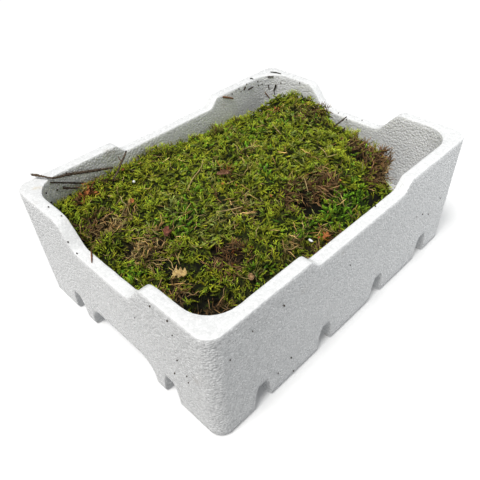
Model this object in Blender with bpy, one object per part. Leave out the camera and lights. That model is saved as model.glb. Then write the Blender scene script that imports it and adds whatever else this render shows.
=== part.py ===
"""A clump of woodland moss, freshly lifted, lying in its moulded foam crate.

The crate is one moulded piece: a rounded tray on a skirt, with a sunken stretch in each side of
the rim, vent notches round the skirt and a hand hold in each end. The moss is one grown mass that
fills the tray but for a gap beside the right-hand near corner. Loose twigs, needles, leaf scraps
and foam crumbs lie on the moss and on the rim.

Units are metres, +Z is up, X runs along the crate and the origin is under its middle.
"""

import math

import bmesh
import bpy
from mathutils import Vector, noise
from mathutils.bvhtree import BVHTree

MM = 0.001

# crate: outside size, walls and floor
CRATE_LENGTH = 400 * MM
CRATE_WIDTH = 300 * MM
CRATE_HEIGHT = 147.5 * MM
RIM_WALL = 13.35 * MM
FOOT_WALL = 16.0 * MM
OUTER_CORNER = 17 * MM
INNER_CORNER = 31 * MM
OUTER_DRAFT = 1.9 * MM
BOTTOM_ROUND = 6 * MM
RIM_ROUND = 1.9 * MM
FLOOR_UNDERSIDE = 32 * MM
FLOOR_TOP = 46 * MM
FLOOR_FILLET = 8 * MM

# sunken stretches of the rim: depth, half width along the bottom, half width along the top
LONG_DIP = (12 * MM, 67 * MM, 82 * MM)
SHORT_DIP = (28 * MM, 38 * MM, 71 * MM)

# vent notches and hand holds in the skirt
NOTCH_HEIGHT = 29.5 * MM
NOTCH_TOP_HALF = 5.6 * MM
NOTCH_BOTTOM_HALF = 12.2 * MM
LONG_NOTCHES = (-141 * MM, -47 * MM, 47 * MM, 141 * MM)
SHORT_NOTCHES = (-81 * MM, 81 * MM)
HAND_HOLD_HALF = 57 * MM
HAND_HOLD_SHOULDER = 20 * MM
CORNER_STEPS = 8

# moss: clearances to the crate, and the mesh's cells
GAP = 0.35 * MM
MOSS_INSET = 1.2 * MM
MOSS_COLUMNS = 54
MOSS_ROWS = 40
CUSHION = 27 * MM
CUSHION_RISE = 11 * MM
TUFT = 12 * MM
TUFT_RISE = 3.2 * MM
EDGE_ROLL = 9 * MM
EDGE_ROLL_WIDTH = 6 * MM
SIDE_BEND = 90 * MM
SIDE_BEND_INSET = 15.6 * MM
MARK_REACH = 30 * MM

# leaf scraps: thickness, and how far their edges curl up
SCRAP_THICKNESS = 0.7 * MM
SCRAP_CURL = 0.9 * MM

# the top of the moss at places across the tray, in mm: x, y, height above the ground
MOSS_HEIGHTS = (
    (-165, 115, 120), (-178, 60, 113), (-180, 0, 108), (-178, -60, 100), (-160, -112, 86),
    (-134, 128, 132), (-100, 128, 127), (-10, 128, 133), (30, 122, 111), (60, 128, 122),
    (114, 114, 107), (-110, 60, 125), (-60, 60, 129), (0, 60, 132), (60, 70, 134), (-110, 0, 121),
    (-60, 0, 126), (0, 0, 131), (50, 20, 137), (100, 50, 138), (130, 95, 129), (168, 80, 151),
    (172, 50, 139), (165, -5, 116),
    (140, -60, 124), (118, -98, 112), (100, 0, 136), (80, -50, 131), (60, -115, 108),
    (0, -118, 105), (-60, -118, 101), (-110, -115, 95), (20, -60, 125), (-40, -60, 120),
    (-100, -60, 111),
)

# where the moss ends on the right, in mm: y, x. Past it the tray is bare
RIGHT_EDGE = (
    (-135, 98), (-118, 106), (-102, 117), (-92, 132), (-84, 150), (-76, 152), (-60, 153), (-30, 165),
    (-8, 169), (20, 174), (42, 180), (64, 178), (88, 174), (99, 164), (105, 150), (113, 125),
    (122, 114), (135, 108),
)

# the dark rift that parts the front cushions from the back ones, in mm: x, y
RIFT = ((-152, -18), (-131, -35), (-115, -42), (-103, -49), (-92, -50), (-81, -45), (-64, -51))
RIFT_DEPTH = 13 * MM
RIFT_WIDTH = 6 * MM

# hollows in the moss, in mm: x, y, radius, depth
HOLLOWS = (
    (18, -72, 13, 24), (-36, -46, 7, 14), (1, -36, 4, 9), (-158, 24, 7, 13), (56, -94, 7, 11),
    (-140, -76, 9, 10), (-88, -66, 9, 9), (120, -58, 8, 12), (-22, 60, 5, 7), (78, 92, 6, 8),
)


def paint(name, color, roughness):
    """A plain material of one colour."""
    material = bpy.data.materials.new(name)
    material.use_nodes = True
    shader = material.node_tree.nodes["Principled BSDF"]
    shader.inputs["Base Color"].default_value = (*color, 1)
    shader.inputs["Roughness"].default_value = roughness
    shader.inputs["Metallic"].default_value = 0
    return material


def add_object(name, bm, material):
    """Turns a bmesh into a named object with its faces pointing out."""
    bmesh.ops.recalc_face_normals(bm, faces=bm.faces)
    mesh = bpy.data.meshes.new(name)
    bm.to_mesh(mesh)
    bm.free()
    mesh.materials.append(material)
    mesh.shade_smooth()
    mesh.set_sharp_from_angle(angle=math.radians(40))
    obj = bpy.data.objects.new(name, mesh)
    bpy.context.scene.collection.objects.link(obj)
    return obj


def skin_loops(bm, loops):
    """Joins closed loops of equally many points with quads, and caps the first and the last."""
    rings = [[bm.verts.new(point) for point in loop] for loop in loops]
    for ring, after in zip(rings, rings[1:]):
        for k in range(len(ring)):
            n = (k + 1) % len(ring)
            bm.faces.new((ring[k], ring[n], after[n], after[k]))
    bm.faces.new(rings[0])
    bm.faces.new(rings[-1])


def smooth_step(t):
    t = min(max(t, 0), 1)
    return t * t * (3 - 2 * t)


def dip_depth(t, dip):
    """How far the rim is sunk at t along a side."""
    depth, bottom_half, top_half = dip
    return depth * smooth_step((top_half - abs(t)) / (top_half - bottom_half))


def notch_height(t, centre):
    """Height of a vent notch's roof at t along a side: straight flanks under a rounded top."""
    away = abs(t - centre)
    if away >= NOTCH_BOTTOM_HALF:
        return 0
    flank = (NOTCH_BOTTOM_HALF - away) / (NOTCH_BOTTOM_HALF - NOTCH_TOP_HALF)
    return NOTCH_HEIGHT * math.sin(min(flank, 1) * math.pi / 2) ** 0.8


def hand_hold_height(t):
    """Height of the hand hold's roof at t along an end: a flat roof on quarter-ellipse shoulders."""
    from_shoulder = (abs(t) - (HAND_HOLD_HALF - HAND_HOLD_SHOULDER)) / HAND_HOLD_SHOULDER
    if from_shoulder >= 1:
        return 0
    return NOTCH_HEIGHT * math.sqrt(1 - max(from_shoulder, 0) ** 2)


def side_marks(half, dip, notches, hand_hold):
    """Places along a side where its outline changes, from one corner to the other."""
    marks = {-half, half}
    bottom_half, top_half = dip[1:]
    for part in (0, 0.22, 0.5, 0.78, 1):
        across = bottom_half + (top_half - bottom_half) * part
        marks |= {-across, across}
    for centre in notches:
        for part in (0, 0.45, 1):
            away = NOTCH_BOTTOM_HALF + (NOTCH_TOP_HALF - NOTCH_BOTTOM_HALF) * part
            marks |= {centre - away, centre + away}
    if hand_hold:
        for angle in (0, 24, 48, 70, 90):
            across = HAND_HOLD_HALF - HAND_HOLD_SHOULDER * (1 - math.cos(math.radians(angle)))
            marks |= {-across, across}
    ordered = sorted(marks)
    kept = [ordered[0]]
    for mark in ordered[1:]:
        if mark - kept[-1] > 0.6 * MM:
            kept.append(mark)
    kept[-1] = half
    return kept


def crate_stations():
    """Round the crate once: (side, place along it or part of the corner, rim height, skirt foot)."""
    half_x = CRATE_LENGTH / 2 - RIM_WALL - INNER_CORNER
    half_y = CRATE_WIDTH / 2 - RIM_WALL - INNER_CORNER
    stations = []
    for side in range(4):
        is_long = side % 2 == 0
        half = half_x if is_long else half_y
        dip = LONG_DIP if is_long else SHORT_DIP
        notches = LONG_NOTCHES if is_long else SHORT_NOTCHES
        for t in side_marks(half, dip, notches, not is_long):
            foot = max(notch_height(t, centre) for centre in notches)
            if not is_long:
                foot = max(foot, hand_hold_height(t))
            stations.append((side, t, None, CRATE_HEIGHT - dip_depth(t, dip), foot))
        for step in range(1, CORNER_STEPS):
            stations.append((side, None, step / CORNER_STEPS, CRATE_HEIGHT, 0))
    return stations


def station_point(station, inset, corner):
    """The point of a station on an outline that lies inset inside the crate's, with that corner."""
    side, t, part, _, _ = station
    long_half = CRATE_LENGTH / 2
    short_half = CRATE_WIDTH / 2
    if side % 2:
        long_half, short_half = short_half, long_half
    if part is None:
        x, y = t, -(short_half - inset)
    else:
        angle = part * math.pi / 2
        x = long_half - inset - corner + corner * math.sin(angle)
        y = -(short_half - inset - corner) - corner * math.cos(angle)
    turn = side * math.pi / 2
    return x * math.cos(turn) - y * math.sin(turn), x * math.sin(turn) + y * math.cos(turn)


def inner_corner(inset):
    """Corner radius of the tray's outlines, which all share the corner's centre."""
    return INNER_CORNER + RIM_WALL - inset


def make_crate(material):
    """The crate: one cross-section carried round, from the tray's floor over the rim to the skirt."""
    stations = crate_stations()
    loops = []

    def add(inset, corner, height):
        loop = []
        for station in stations:
            x, y = station_point(station, inset, corner)
            loop.append((x, y, height(station[3], station[4])))
        loops.append(loop)

    soft = RIM_ROUND
    cut = soft * (1 - math.sqrt(0.5))
    low = BOTTOM_ROUND
    low_cut = low * (1 - math.sqrt(0.5))
    floor_inset = FOOT_WALL + FLOOR_FILLET
    add(floor_inset, inner_corner(floor_inset), lambda rim, foot: FLOOR_TOP)
    add(FOOT_WALL, inner_corner(FOOT_WALL), lambda rim, foot: FLOOR_TOP + FLOOR_FILLET)
    add(RIM_WALL, inner_corner(RIM_WALL), lambda rim, foot: rim - soft)
    add(RIM_WALL - cut, inner_corner(RIM_WALL - cut), lambda rim, foot: rim - cut)
    add(RIM_WALL - soft, inner_corner(RIM_WALL - soft), lambda rim, foot: rim)
    add(soft, OUTER_CORNER - soft, lambda rim, foot: rim)
    add(cut, OUTER_CORNER - cut, lambda rim, foot: rim - cut)
    add(0, OUTER_CORNER, lambda rim, foot: rim - soft)
    add(OUTER_DRAFT, OUTER_CORNER - OUTER_DRAFT, lambda rim, foot: foot + low)
    rounded = OUTER_DRAFT + low_cut
    add(rounded, OUTER_CORNER - rounded, lambda rim, foot: foot + low_cut)
    add(OUTER_DRAFT + low, OUTER_CORNER - OUTER_DRAFT - low, lambda rim, foot: foot)
    add(FOOT_WALL, inner_corner(FOOT_WALL), lambda rim, foot: foot)
    under_inset = FOOT_WALL + MM
    add(under_inset, inner_corner(under_inset), lambda rim, foot: FLOOR_UNDERSIDE)
    bm = bmesh.new()
    skin_loops(bm, loops)
    return add_object("foam_box", bm, material)


def blended_height(x, y):
    """Height of the moss by its marks, each counting for the ground around it."""
    total = 0
    weights = 0
    for mark_x, mark_y, height in MOSS_HEIGHTS:
        away = math.hypot(x - mark_x * MM, y - mark_y * MM)
        weight = math.exp(-0.5 * (away / MARK_REACH) ** 2) + 1e-9
        total += weight * height * MM
        weights += weight
    return total / weights


def distance_to_path(x, y, path):
    """Shortest way from a point to a line through points given in mm."""
    point = Vector((x, y))
    best = 1
    for start, end in zip(path, path[1:]):
        a = Vector(start) * MM
        b = Vector(end) * MM
        along = (point - a).dot(b - a) / (b - a).length_squared
        best = min(best, (point - a.lerp(b, min(max(along, 0), 1))).length)
    return best


def tufts(x, y):
    """Cushions with creases between them, and smaller tufts on them."""
    crease = abs(noise.noise(Vector((x / CUSHION, y / CUSHION, 3.1))))
    tuft = noise.noise(Vector((x / TUFT, y / TUFT, 8.4)))
    return CUSHION_RISE * (1.4 * min(crease, 0.4) - 0.3) + TUFT_RISE * tuft


def moss_height(x, y):
    """Height of the moss away from its edges."""
    height = blended_height(x, y) + tufts(x, y)
    height -= RIFT_DEPTH * math.exp(-((distance_to_path(x, y, RIFT) / RIFT_WIDTH) ** 2))
    for hollow_x, hollow_y, radius, depth in HOLLOWS:
        away = math.hypot(x - hollow_x * MM, y - hollow_y * MM) / (radius * MM)
        height -= depth * MM * math.exp(-(away**3))
    return height


def right_edge(y):
    """Where the moss ends on the right."""
    for (y0, x0), (y1, x1) in zip(RIGHT_EDGE, RIGHT_EDGE[1:]):
        if y <= y1 * MM:
            return (x0 + (x1 - x0) * (y / MM - y0) / (y1 - y0)) * MM
    return RIGHT_EDGE[-1][1] * MM


def moss_span(y, inset):
    """The moss's ends in X at y, inset from the crate's outside on the left."""
    corner = inner_corner(inset)
    left = -(CRATE_LENGTH / 2 - inset)
    past = abs(y) - (CRATE_WIDTH / 2 - inset - corner)
    if past > 0:
        left += corner - math.sqrt(max(corner**2 - past**2, 0))
    return left, min(right_edge(y), CRATE_LENGTH / 2 - inset)


def moss_point(column, row, inset):
    """A grid place in plan, and how far it is from the nearest edge of the moss."""
    half = CRATE_WIDTH / 2 - inset
    y = half * (2 * row / MOSS_ROWS - 1)
    left, right = moss_span(y, inset)
    x = left + (right - left) * column / MOSS_COLUMNS
    to_edge = min(x - left, right - x, half - abs(y))
    return x, y, to_edge


def border(columns, rows):
    """The grid's border places in order, once round."""
    around = [(c, 0) for c in range(columns)]
    around += [(columns, r) for r in range(rows)]
    around += [(c, rows) for c in range(columns, 0, -1)]
    around += [(0, r) for r in range(rows, 0, -1)]
    return around


def make_moss(material):
    """The moss: a tufted top, a rolled edge, ragged sides and a flat underside on the tray's floor."""
    bm = bmesh.new()
    top_inset = RIM_WALL + MOSS_INSET + 0.6 * MM
    top = {}
    for row in range(MOSS_ROWS + 1):
        for column in range(MOSS_COLUMNS + 1):
            x, y, to_edge = moss_point(column, row, top_inset)
            roll = EDGE_ROLL * math.exp(-to_edge / EDGE_ROLL_WIDTH)
            top[column, row] = bm.verts.new((x, y, moss_height(x, y) - roll))
    for row in range(MOSS_ROWS):
        for column in range(MOSS_COLUMNS):
            a, b = top[column, row], top[column + 1, row]
            c, d = top[column + 1, row + 1], top[column, row + 1]
            bm.faces.new((a, b, c))
            bm.faces.new((a, c, d))
    side_levels = (
        (SIDE_BEND, SIDE_BEND_INSET),
        (FLOOR_TOP + FLOOR_FILLET + 2 * MM, FOOT_WALL + MOSS_INSET),
        (FLOOR_TOP + GAP, FOOT_WALL + FLOOR_FILLET + MOSS_INSET),
    )
    ring = [top[place] for place in border(MOSS_COLUMNS, MOSS_ROWS)]
    for height, inset in side_levels:
        below = []
        for column, row in border(MOSS_COLUMNS, MOSS_ROWS):
            x, y, _ = moss_point(column, row, inset + 0.6 * MM)
            ragged = 3 * MM * noise.noise(Vector((y / 0.016, height / 0.02, 5.7)))
            if column == MOSS_COLUMNS:
                x += ragged - 3 * MM
            below.append(bm.verts.new((x, y, height)))
        for k in range(len(ring)):
            n = (k + 1) % len(ring)
            bm.faces.new((ring[k], below[k], below[n], ring[n]))
        ring = below
    bm.faces.new(ring)
    return add_object("moss_clump", bm, material)


def tube(points, radii, sides):
    """A closed tube through points, one radius for each."""
    loops = []
    for k, point in enumerate(points):
        ahead = points[min(k + 1, len(points) - 1)] - points[max(k - 1, 0)]
        across = ahead.cross(Vector((0, 0, 1))).normalized()
        up = across.cross(ahead).normalized()
        loop = []
        for side in range(sides):
            angle = 2 * math.pi * side / sides
            loop.append(point + radii[k] * (across * math.cos(angle) + up * math.sin(angle)))
        loops.append(loop)
    bm = bmesh.new()
    skin_loops(bm, loops)
    return bm


def ground_under(trees, x, y, reach):
    """The highest point of the crate and the moss under a disc of that reach."""
    around = [(math.cos(k * math.pi / 4), math.sin(k * math.pi / 4)) for k in range(8)]
    highest = 0
    for dx, dy in [(0, 0)] + around:
        start = Vector((x + dx * reach, y + dy * reach, 1))
        for tree in trees:
            hit = tree.ray_cast(start, Vector((0, 0, -1)))[0]
            if hit is not None:
                highest = max(highest, hit.z)
    return highest


def settle(points, radii, trees):
    """Moves a stick straight up or down until it just rests on what is under it."""
    lift = -1
    for k in range(len(points) - 1):
        for part in (0, 0.25, 0.5, 0.75, 1):
            point = points[k].lerp(points[k + 1], part)
            radius = radii[k] + (radii[k + 1] - radii[k]) * part
            ground = ground_under(trees, point.x, point.y, radius + 0.5 * MM)
            lift = max(lift, ground + radius + GAP - point.z)
    return [point + Vector((0, 0, lift)) for point in points]


def make_stick(name, path, material, trees, sides=6):
    """A twig or a needle through places in mm: x, y, height and thickness."""
    points = [Vector(place[:3]) * MM for place in path]
    radii = [place[3] / 2 * MM for place in path]
    bm = tube(settle(points, radii, trees), radii, sides)
    return add_object(name, bm, material)


def make_scrap(name, place, length, width, turn, material, trees):
    """A scrap of dead leaf: a small curled blade with a pointed tip, lying flat."""
    outline = ((-0.5, 0.12), (-0.28, 0.42), (0.08, 0.5), (0.36, 0.3), (0.5, 0.03))
    left = [(s * length * MM, w * width * MM) for s, w in outline]
    right = [(s * length * MM, -w * width * MM * 0.86) for s, w in reversed(outline)]
    loop = left + right
    turned = []
    for s, w in loop:
        x = place[0] * MM + s * math.cos(turn) - w * math.sin(turn)
        y = place[1] * MM + s * math.sin(turn) + w * math.cos(turn)
        rise = SCRAP_CURL * (2 * w / (width * MM)) ** 2
        turned.append((x, y, rise))
    ground = max(ground_under(trees, x, y, 1 * MM) - rise for x, y, rise in turned)
    ground = max(ground, ground_under(trees, place[0] * MM, place[1] * MM, 1 * MM))
    bm = bmesh.new()
    low = [(x, y, ground + GAP + 0.2 * MM + rise) for x, y, rise in turned]
    high = [(x, y, z + SCRAP_THICKNESS) for x, y, z in low]
    skin_loops(bm, [low, high])
    return add_object(name, bm, material)


def make_crumb(name, place, size, material, trees):
    """A crumb of foam: a small uneven ball lying on the moss."""
    bm = bmesh.new()
    bmesh.ops.create_icosphere(bm, subdivisions=1, radius=0.5 * MM)
    for vert in bm.verts:
        vert.co.x *= size[0]
        vert.co.y *= size[1]
        vert.co.z *= size[2]
    ground = ground_under(trees, place[0] * MM, place[1] * MM, max(size) / 2 * MM)
    centre = Vector((place[0] * MM, place[1] * MM, ground + GAP + size[2] / 2 * MM))
    bmesh.ops.translate(bm, verts=bm.verts, vec=centre)
    return add_object(name, bm, material)


def make_litter(trees):
    """Everything that lies loose on the moss and on the rim."""
    bark = paint("twig_bark", (0.13, 0.085, 0.055), 0.9)
    straw = paint("needle_brown", (0.30, 0.15, 0.06), 0.8)
    leaf = paint("dead_leaf", (0.45, 0.20, 0.08), 0.85)
    pale = paint("pale_leaf", (0.55, 0.38, 0.20), 0.85)
    foam = paint("foam_crumb", (0.86, 0.87, 0.87), 0.7)

    sticks = {
        "twig_long": (
            (-177.1, 149.3, 151, 2.8), (-170.7, 138.1, 150.3, 2.0), (-163.5, 132.2, 147.4, 2.0),
            (-155.8, 132, 145, 2.4), (-146.5, 132, 143, 3.8), (-132.8, 132, 138.5, 3.2),
            (-115, 132, 132.4, 3.0), (-93.1, 131.2, 125.6, 2.4),
        ),
        "twig_thin": (
            (-167.2, 132.6, 145.3, 1.6), (-157, 132.8, 139.5, 1.8), (-143, 132.6, 131.8, 2.2),
            (-130, 132, 125, 1.8),
        ),
        "twig_stub": ((-155.5, 133.6, 130.5, 3.2), (-149.5, 130, 128.6, 2.4), (-141.5, 126, 126.6, 2)),
        "twig_leaning": (
            (-108, 108, 128, 2.0), (-98, 113, 130.5, 2.6), (-88, 120, 133.5, 2.5),
            (-78, 126, 136.5, 2.2), (-71, 131, 138.5, 1.8),
        ),
        "twig_right": (
            (144, -6, 127, 1.8), (157, -4, 126, 2.2), (170, -1.5, 124.5, 1.9), (182, 2, 122, 1.4),
        ),
    }
    for name, path in sticks.items():
        make_stick(name, path, bark, trees)

    needles = (
        ("needle_left", (-187.4, 32.5), (-195.6, 19)),
        ("needle_far", (182, 134.6), (186.6, 119)),
        ("needle_back", (148, 142), (149.6, 137.2)),
    )
    for name, start, end in needles:
        middle = ((start[0] + end[0]) / 2 + 0.6, (start[1] + end[1]) / 2 + 0.6)
        path = [(*start, 100, 1.4), (*middle, 100, 1.6), (*end, 100, 0.9)]
        make_stick(name, path, straw, trees, sides=5)

    scraps = (
        ("leaf_orange_left", (-118.3, 58.7), 7.5, 4, 0.85, leaf),
        ("leaf_orange_back", (-139, 109), 9, 4, 0.8, leaf),
        ("leaf_orange_middle", (-23.2, 18.6), 16, 6.5, -0.65, leaf),
        ("leaf_orange_front", (-11.5, -114), 11, 5, 0.2, leaf),
        ("leaf_red_left", (-120.8, -0.4), 15, 7, 0.85, leaf),
        ("leaf_pale_left", (-141.4, -42.9), 13, 9, -0.9, pale),
        ("leaf_pale_front", (-100.1, -96), 9, 5, 0.8, pale),
    )
    for name, place, length, width, turn, material in scraps:
        make_scrap(name, place, length, width, turn, material, trees)

    make_crumb("foam_bead", (-93.3, 89.8), (3.2, 3.2, 3), foam, trees)
    make_crumb("foam_flake", (-24.7, -106), (2.4, 5.5, 2.2), foam, trees)


def tree_of(obj):
    """A search tree of an object's faces."""
    bm = bmesh.new()
    bm.from_mesh(obj.data)
    tree = BVHTree.FromBMesh(bm)
    bm.free()
    return tree


def build():
    for obj in list(bpy.data.objects):
        bpy.data.objects.remove(obj)
    crate = make_crate(paint("foam_white", (0.84, 0.85, 0.85), 0.75))
    moss = make_moss(paint("moss_green", (0.16, 0.24, 0.035), 0.95))
    make_litter([tree_of(crate), tree_of(moss)])


build()
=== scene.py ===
import math

import bpy
import numpy as np
from mathutils import Matrix, Vector, noise
from mathutils.bvhtree import BVHTree


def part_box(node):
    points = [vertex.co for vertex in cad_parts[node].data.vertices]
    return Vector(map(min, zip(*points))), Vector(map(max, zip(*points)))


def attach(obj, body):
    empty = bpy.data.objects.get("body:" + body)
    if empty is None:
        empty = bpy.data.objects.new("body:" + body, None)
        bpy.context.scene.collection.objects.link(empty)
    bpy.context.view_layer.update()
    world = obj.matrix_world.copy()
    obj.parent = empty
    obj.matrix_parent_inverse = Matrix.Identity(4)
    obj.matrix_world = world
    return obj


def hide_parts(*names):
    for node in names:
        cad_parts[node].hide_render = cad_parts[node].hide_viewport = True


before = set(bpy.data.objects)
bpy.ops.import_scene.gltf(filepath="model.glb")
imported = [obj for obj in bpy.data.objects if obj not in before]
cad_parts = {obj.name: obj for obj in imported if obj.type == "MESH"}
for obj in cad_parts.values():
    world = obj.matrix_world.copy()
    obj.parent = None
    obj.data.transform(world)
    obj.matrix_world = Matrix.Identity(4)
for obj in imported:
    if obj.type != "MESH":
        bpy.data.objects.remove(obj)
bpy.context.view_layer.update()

# A clump of feather moss in its white foam crate. Lengths in the dictionaries are in millimetres.
mm = 0.001


def deselectAll():
    if bpy.context.object and bpy.context.object.mode != "OBJECT":
        bpy.ops.object.mode_set(mode="OBJECT")
    bpy.ops.object.select_all(action="DESELECT")


def pick(obj):
    deselectAll()
    obj.select_set(True)
    bpy.context.view_layer.objects.active = obj


def applyModifiers(obj):
    pick(obj)
    for modifier in list(obj.modifiers):
        bpy.ops.object.modifier_apply(modifier=modifier.name)


def mergePoints(obj, distance=0.00001):
    pick(obj)
    bpy.ops.object.mode_set(mode="EDIT")
    bpy.ops.mesh.select_all(action="SELECT")
    bpy.ops.mesh.remove_doubles(threshold=distance)
    bpy.ops.mesh.normals_make_consistent(inside=False)
    bpy.ops.object.mode_set(mode="OBJECT")


def cadCopy(nodeName, name):
    # a CAD node's mesh is loose triangles, so the copy is merged before anything else
    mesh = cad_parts[nodeName].data.copy()
    mesh.materials.clear()
    obj = bpy.data.objects.new(name, mesh)
    bpy.context.scene.collection.objects.link(obj)
    pick(obj)
    if mesh.has_custom_normals:
        bpy.ops.mesh.customdata_custom_splitnormals_clear()
    mergePoints(obj)
    return obj


def readPoints(mesh):
    points = np.empty(len(mesh.vertices) * 3)
    mesh.vertices.foreach_get("co", points)
    return points.reshape(-1, 3)


def writePoints(mesh, points):
    mesh.vertices.foreach_set("co", np.asarray(points, np.float32).ravel())
    mesh.update()


def readNormals(mesh):
    normals = np.empty(len(mesh.vertices) * 3)
    mesh.vertex_normals.foreach_get("vector", normals)
    return normals.reshape(-1, 3)


def readTriangles(mesh):
    mesh.calc_loop_triangles()
    corners = np.empty(len(mesh.loop_triangles) * 3, int)
    mesh.loop_triangles.foreach_get("vertices", corners)
    return corners.reshape(-1, 3)


def finishPiece(obj, material, slotName, *nodeNames, smoothAngle=None):
    obj.data.materials.clear()
    obj.data.materials.append(material)
    pick(obj)
    if smoothAngle is None:
        bpy.ops.object.shade_smooth()
    else:
        bpy.ops.object.shade_smooth_by_angle(angle=math.radians(smoothAngle))
    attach(obj, "root")
    if nodeNames:
        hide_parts(*nodeNames)
    return obj


def waves(x, y, size, seed):
    # smooth repeatable noise from -1 to 1 over the plan, in mm
    dice = np.random.default_rng(seed)
    total = np.zeros_like(x, float)
    for _ in range(7):
        turn = dice.uniform(0, math.tau)
        reach = size * dice.uniform(0.6, 1.7)
        shift = dice.uniform(0, math.tau)
        total += np.sin((x * math.cos(turn) + y * math.sin(turn)) * math.tau / reach + shift)
    return total / 3.2


cameraPlace = dict(
    position=(-332.5, -332.9, 445.9), azimuth=-43.0666, elevation=41.2935, roll=3.3419,
    lens=38.185, sensor=36,
)

lightLook = dict(
    world=0.27, worldColor=(0.955, 0.98, 1.0),
    sunStrength=2.75, sunAngle=24, sunFrom=(-0.44, -0.06, 1.0), sunColor=(1.0, 0.995, 0.98),
    leftPower=0.9, leftSize=0.9, leftPlace=(-1100, -50, 450), leftColor=(1.0, 0.88, 0.77),
    rightPower=2.1, rightSize=0.7, rightPlace=(640, -560, 360), rightColor=(0.97, 0.99, 1.0),
    floorSize=9000, floorColor=(0.97, 0.97, 0.97),
)


def aimAt(obj, target):
    obj.rotation_mode = "QUATERNION"
    obj.rotation_quaternion = (obj.location - Vector(target)).to_track_quat("Z", "Y")


def makeCamera():
    look = cameraPlace
    turn = math.radians(look["azimuth"])
    lift = math.radians(look["elevation"])
    roll = math.radians(look["roll"])
    back = Vector((math.sin(turn) * math.cos(lift), -math.cos(turn) * math.cos(lift), math.sin(lift)))
    side = (-back).cross(Vector((0, 0, 1))).normalized()
    down = (-back).cross(side)
    across = side * math.cos(roll) + down * math.sin(roll)
    below = down * math.cos(roll) - side * math.sin(roll)
    data = bpy.data.cameras.new("camera")
    data.lens = look["lens"]
    data.sensor_width = look["sensor"]
    data.clip_start = 0.01
    data.clip_end = 50
    camera = bpy.data.objects.new("camera", data)
    bpy.context.scene.collection.objects.link(camera)
    axes = Matrix((across, -below, back)).transposed().to_4x4()
    camera.matrix_world = Matrix.Translation(Vector(look["position"]) * mm) @ axes
    bpy.context.scene.camera = camera


def makeAreaLight(name, power, size, place, color):
    data = bpy.data.lights.new(name, "AREA")
    data.energy = power
    data.size = size
    data.color = color
    light = bpy.data.objects.new(name, data)
    bpy.context.scene.collection.objects.link(light)
    light.location = Vector(place) * mm
    aimAt(light, (0, 0, 0.08))


def makeSun():
    look = lightLook
    data = bpy.data.lights.new("softSun", "SUN")
    data.energy = look["sunStrength"]
    data.angle = math.radians(look["sunAngle"])
    data.color = look["sunColor"]
    sun = bpy.data.objects.new("softSun", data)
    bpy.context.scene.collection.objects.link(sun)
    sun.location = Vector(look["sunFrom"])
    aimAt(sun, (0, 0, 0))


def makeStage():
    look = lightLook
    world = bpy.data.worlds.new("paleRoom")
    world.use_nodes = True
    world.node_tree.nodes["Background"].inputs["Color"].default_value = (*look["worldColor"], 1)
    world.node_tree.nodes["Background"].inputs["Strength"].default_value = look["world"]
    bpy.context.scene.world = world
    makeSun()
    for side in ("left", "right"):
        makeAreaLight(side + "Panel", *(look[side + word] for word in ("Power", "Size", "Place", "Color")))
    deselectAll()
    bpy.ops.mesh.primitive_plane_add(size=look["floorSize"] * mm, location=(0, 0, 0))
    floor = bpy.context.object
    floor.name = "paleFloor"
    material = bpy.data.materials.new("paleFloor")
    material.use_nodes = True
    shader = material.node_tree.nodes["Principled BSDF"]
    shader.inputs["Base Color"].default_value = (*look["floorColor"], 1)
    shader.inputs["Roughness"].default_value = 0.9
    shader.inputs["Specular IOR Level"].default_value = 0.0
    floor.data.materials.append(material)
    floor.visible_diffuse = False              # so that a white floor doesn't wash out the walls from below
    scene = bpy.context.scene
    scene.view_settings.view_transform = "Standard"
    scene.view_settings.look = "None"
    scene.view_settings.exposure = 0
    scene.view_settings.gamma = 1


def startMaterial(name, roughness=0.6, specular=0.5):
    material = bpy.data.materials.new(name)
    material.use_nodes = True
    tree = material.node_tree
    shader = tree.nodes["Principled BSDF"]
    shader.inputs["Roughness"].default_value = roughness
    shader.inputs["Specular IOR Level"].default_value = specular
    place = tree.nodes.new("ShaderNodeTexCoord").outputs["Object"]
    return material, tree, shader, place


def addNoise(tree, place, scale, detail=3, roughness=0.55):
    node = tree.nodes.new("ShaderNodeTexNoise")
    node.inputs["Scale"].default_value = scale
    node.inputs["Detail"].default_value = detail
    node.inputs["Roughness"].default_value = roughness
    tree.links.new(place, node.inputs["Vector"])
    return node.outputs["Fac"]


def addCells(tree, place, scale, feature="F1"):
    node = tree.nodes.new("ShaderNodeTexVoronoi")
    node.feature = feature
    node.inputs["Scale"].default_value = scale
    tree.links.new(place, node.inputs["Vector"])
    return node


def addRange(tree, value, fromLow, fromHigh, toLow, toHigh):
    node = tree.nodes.new("ShaderNodeMapRange")
    node.interpolation_type = "SMOOTHSTEP"
    for socket, number in zip(node.inputs[1:5], (fromLow, fromHigh, toLow, toHigh)):
        socket.default_value = number
    tree.links.new(value, node.inputs["Value"])
    return node.outputs["Result"]


def addMath(tree, how, first, second=None):
    node = tree.nodes.new("ShaderNodeMath")
    node.operation = how
    for socket, value in zip(node.inputs, (first, second)):
        if isinstance(value, (int, float)):
            socket.default_value = value
        elif value is not None:
            tree.links.new(value, socket)
    return node.outputs["Value"]


def addMix(tree, factor, first, second, how="MIX"):
    node = tree.nodes.new("ShaderNodeMix")
    node.data_type = "RGBA"
    node.blend_type = how
    for socket, value in ((node.inputs[0], factor), (node.inputs[6], first), (node.inputs[7], second)):
        if isinstance(value, tuple):
            socket.default_value = (*value, 1)
        elif isinstance(value, (int, float)):
            socket.default_value = value
        else:
            tree.links.new(value, socket)
    return node.outputs[2]


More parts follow.
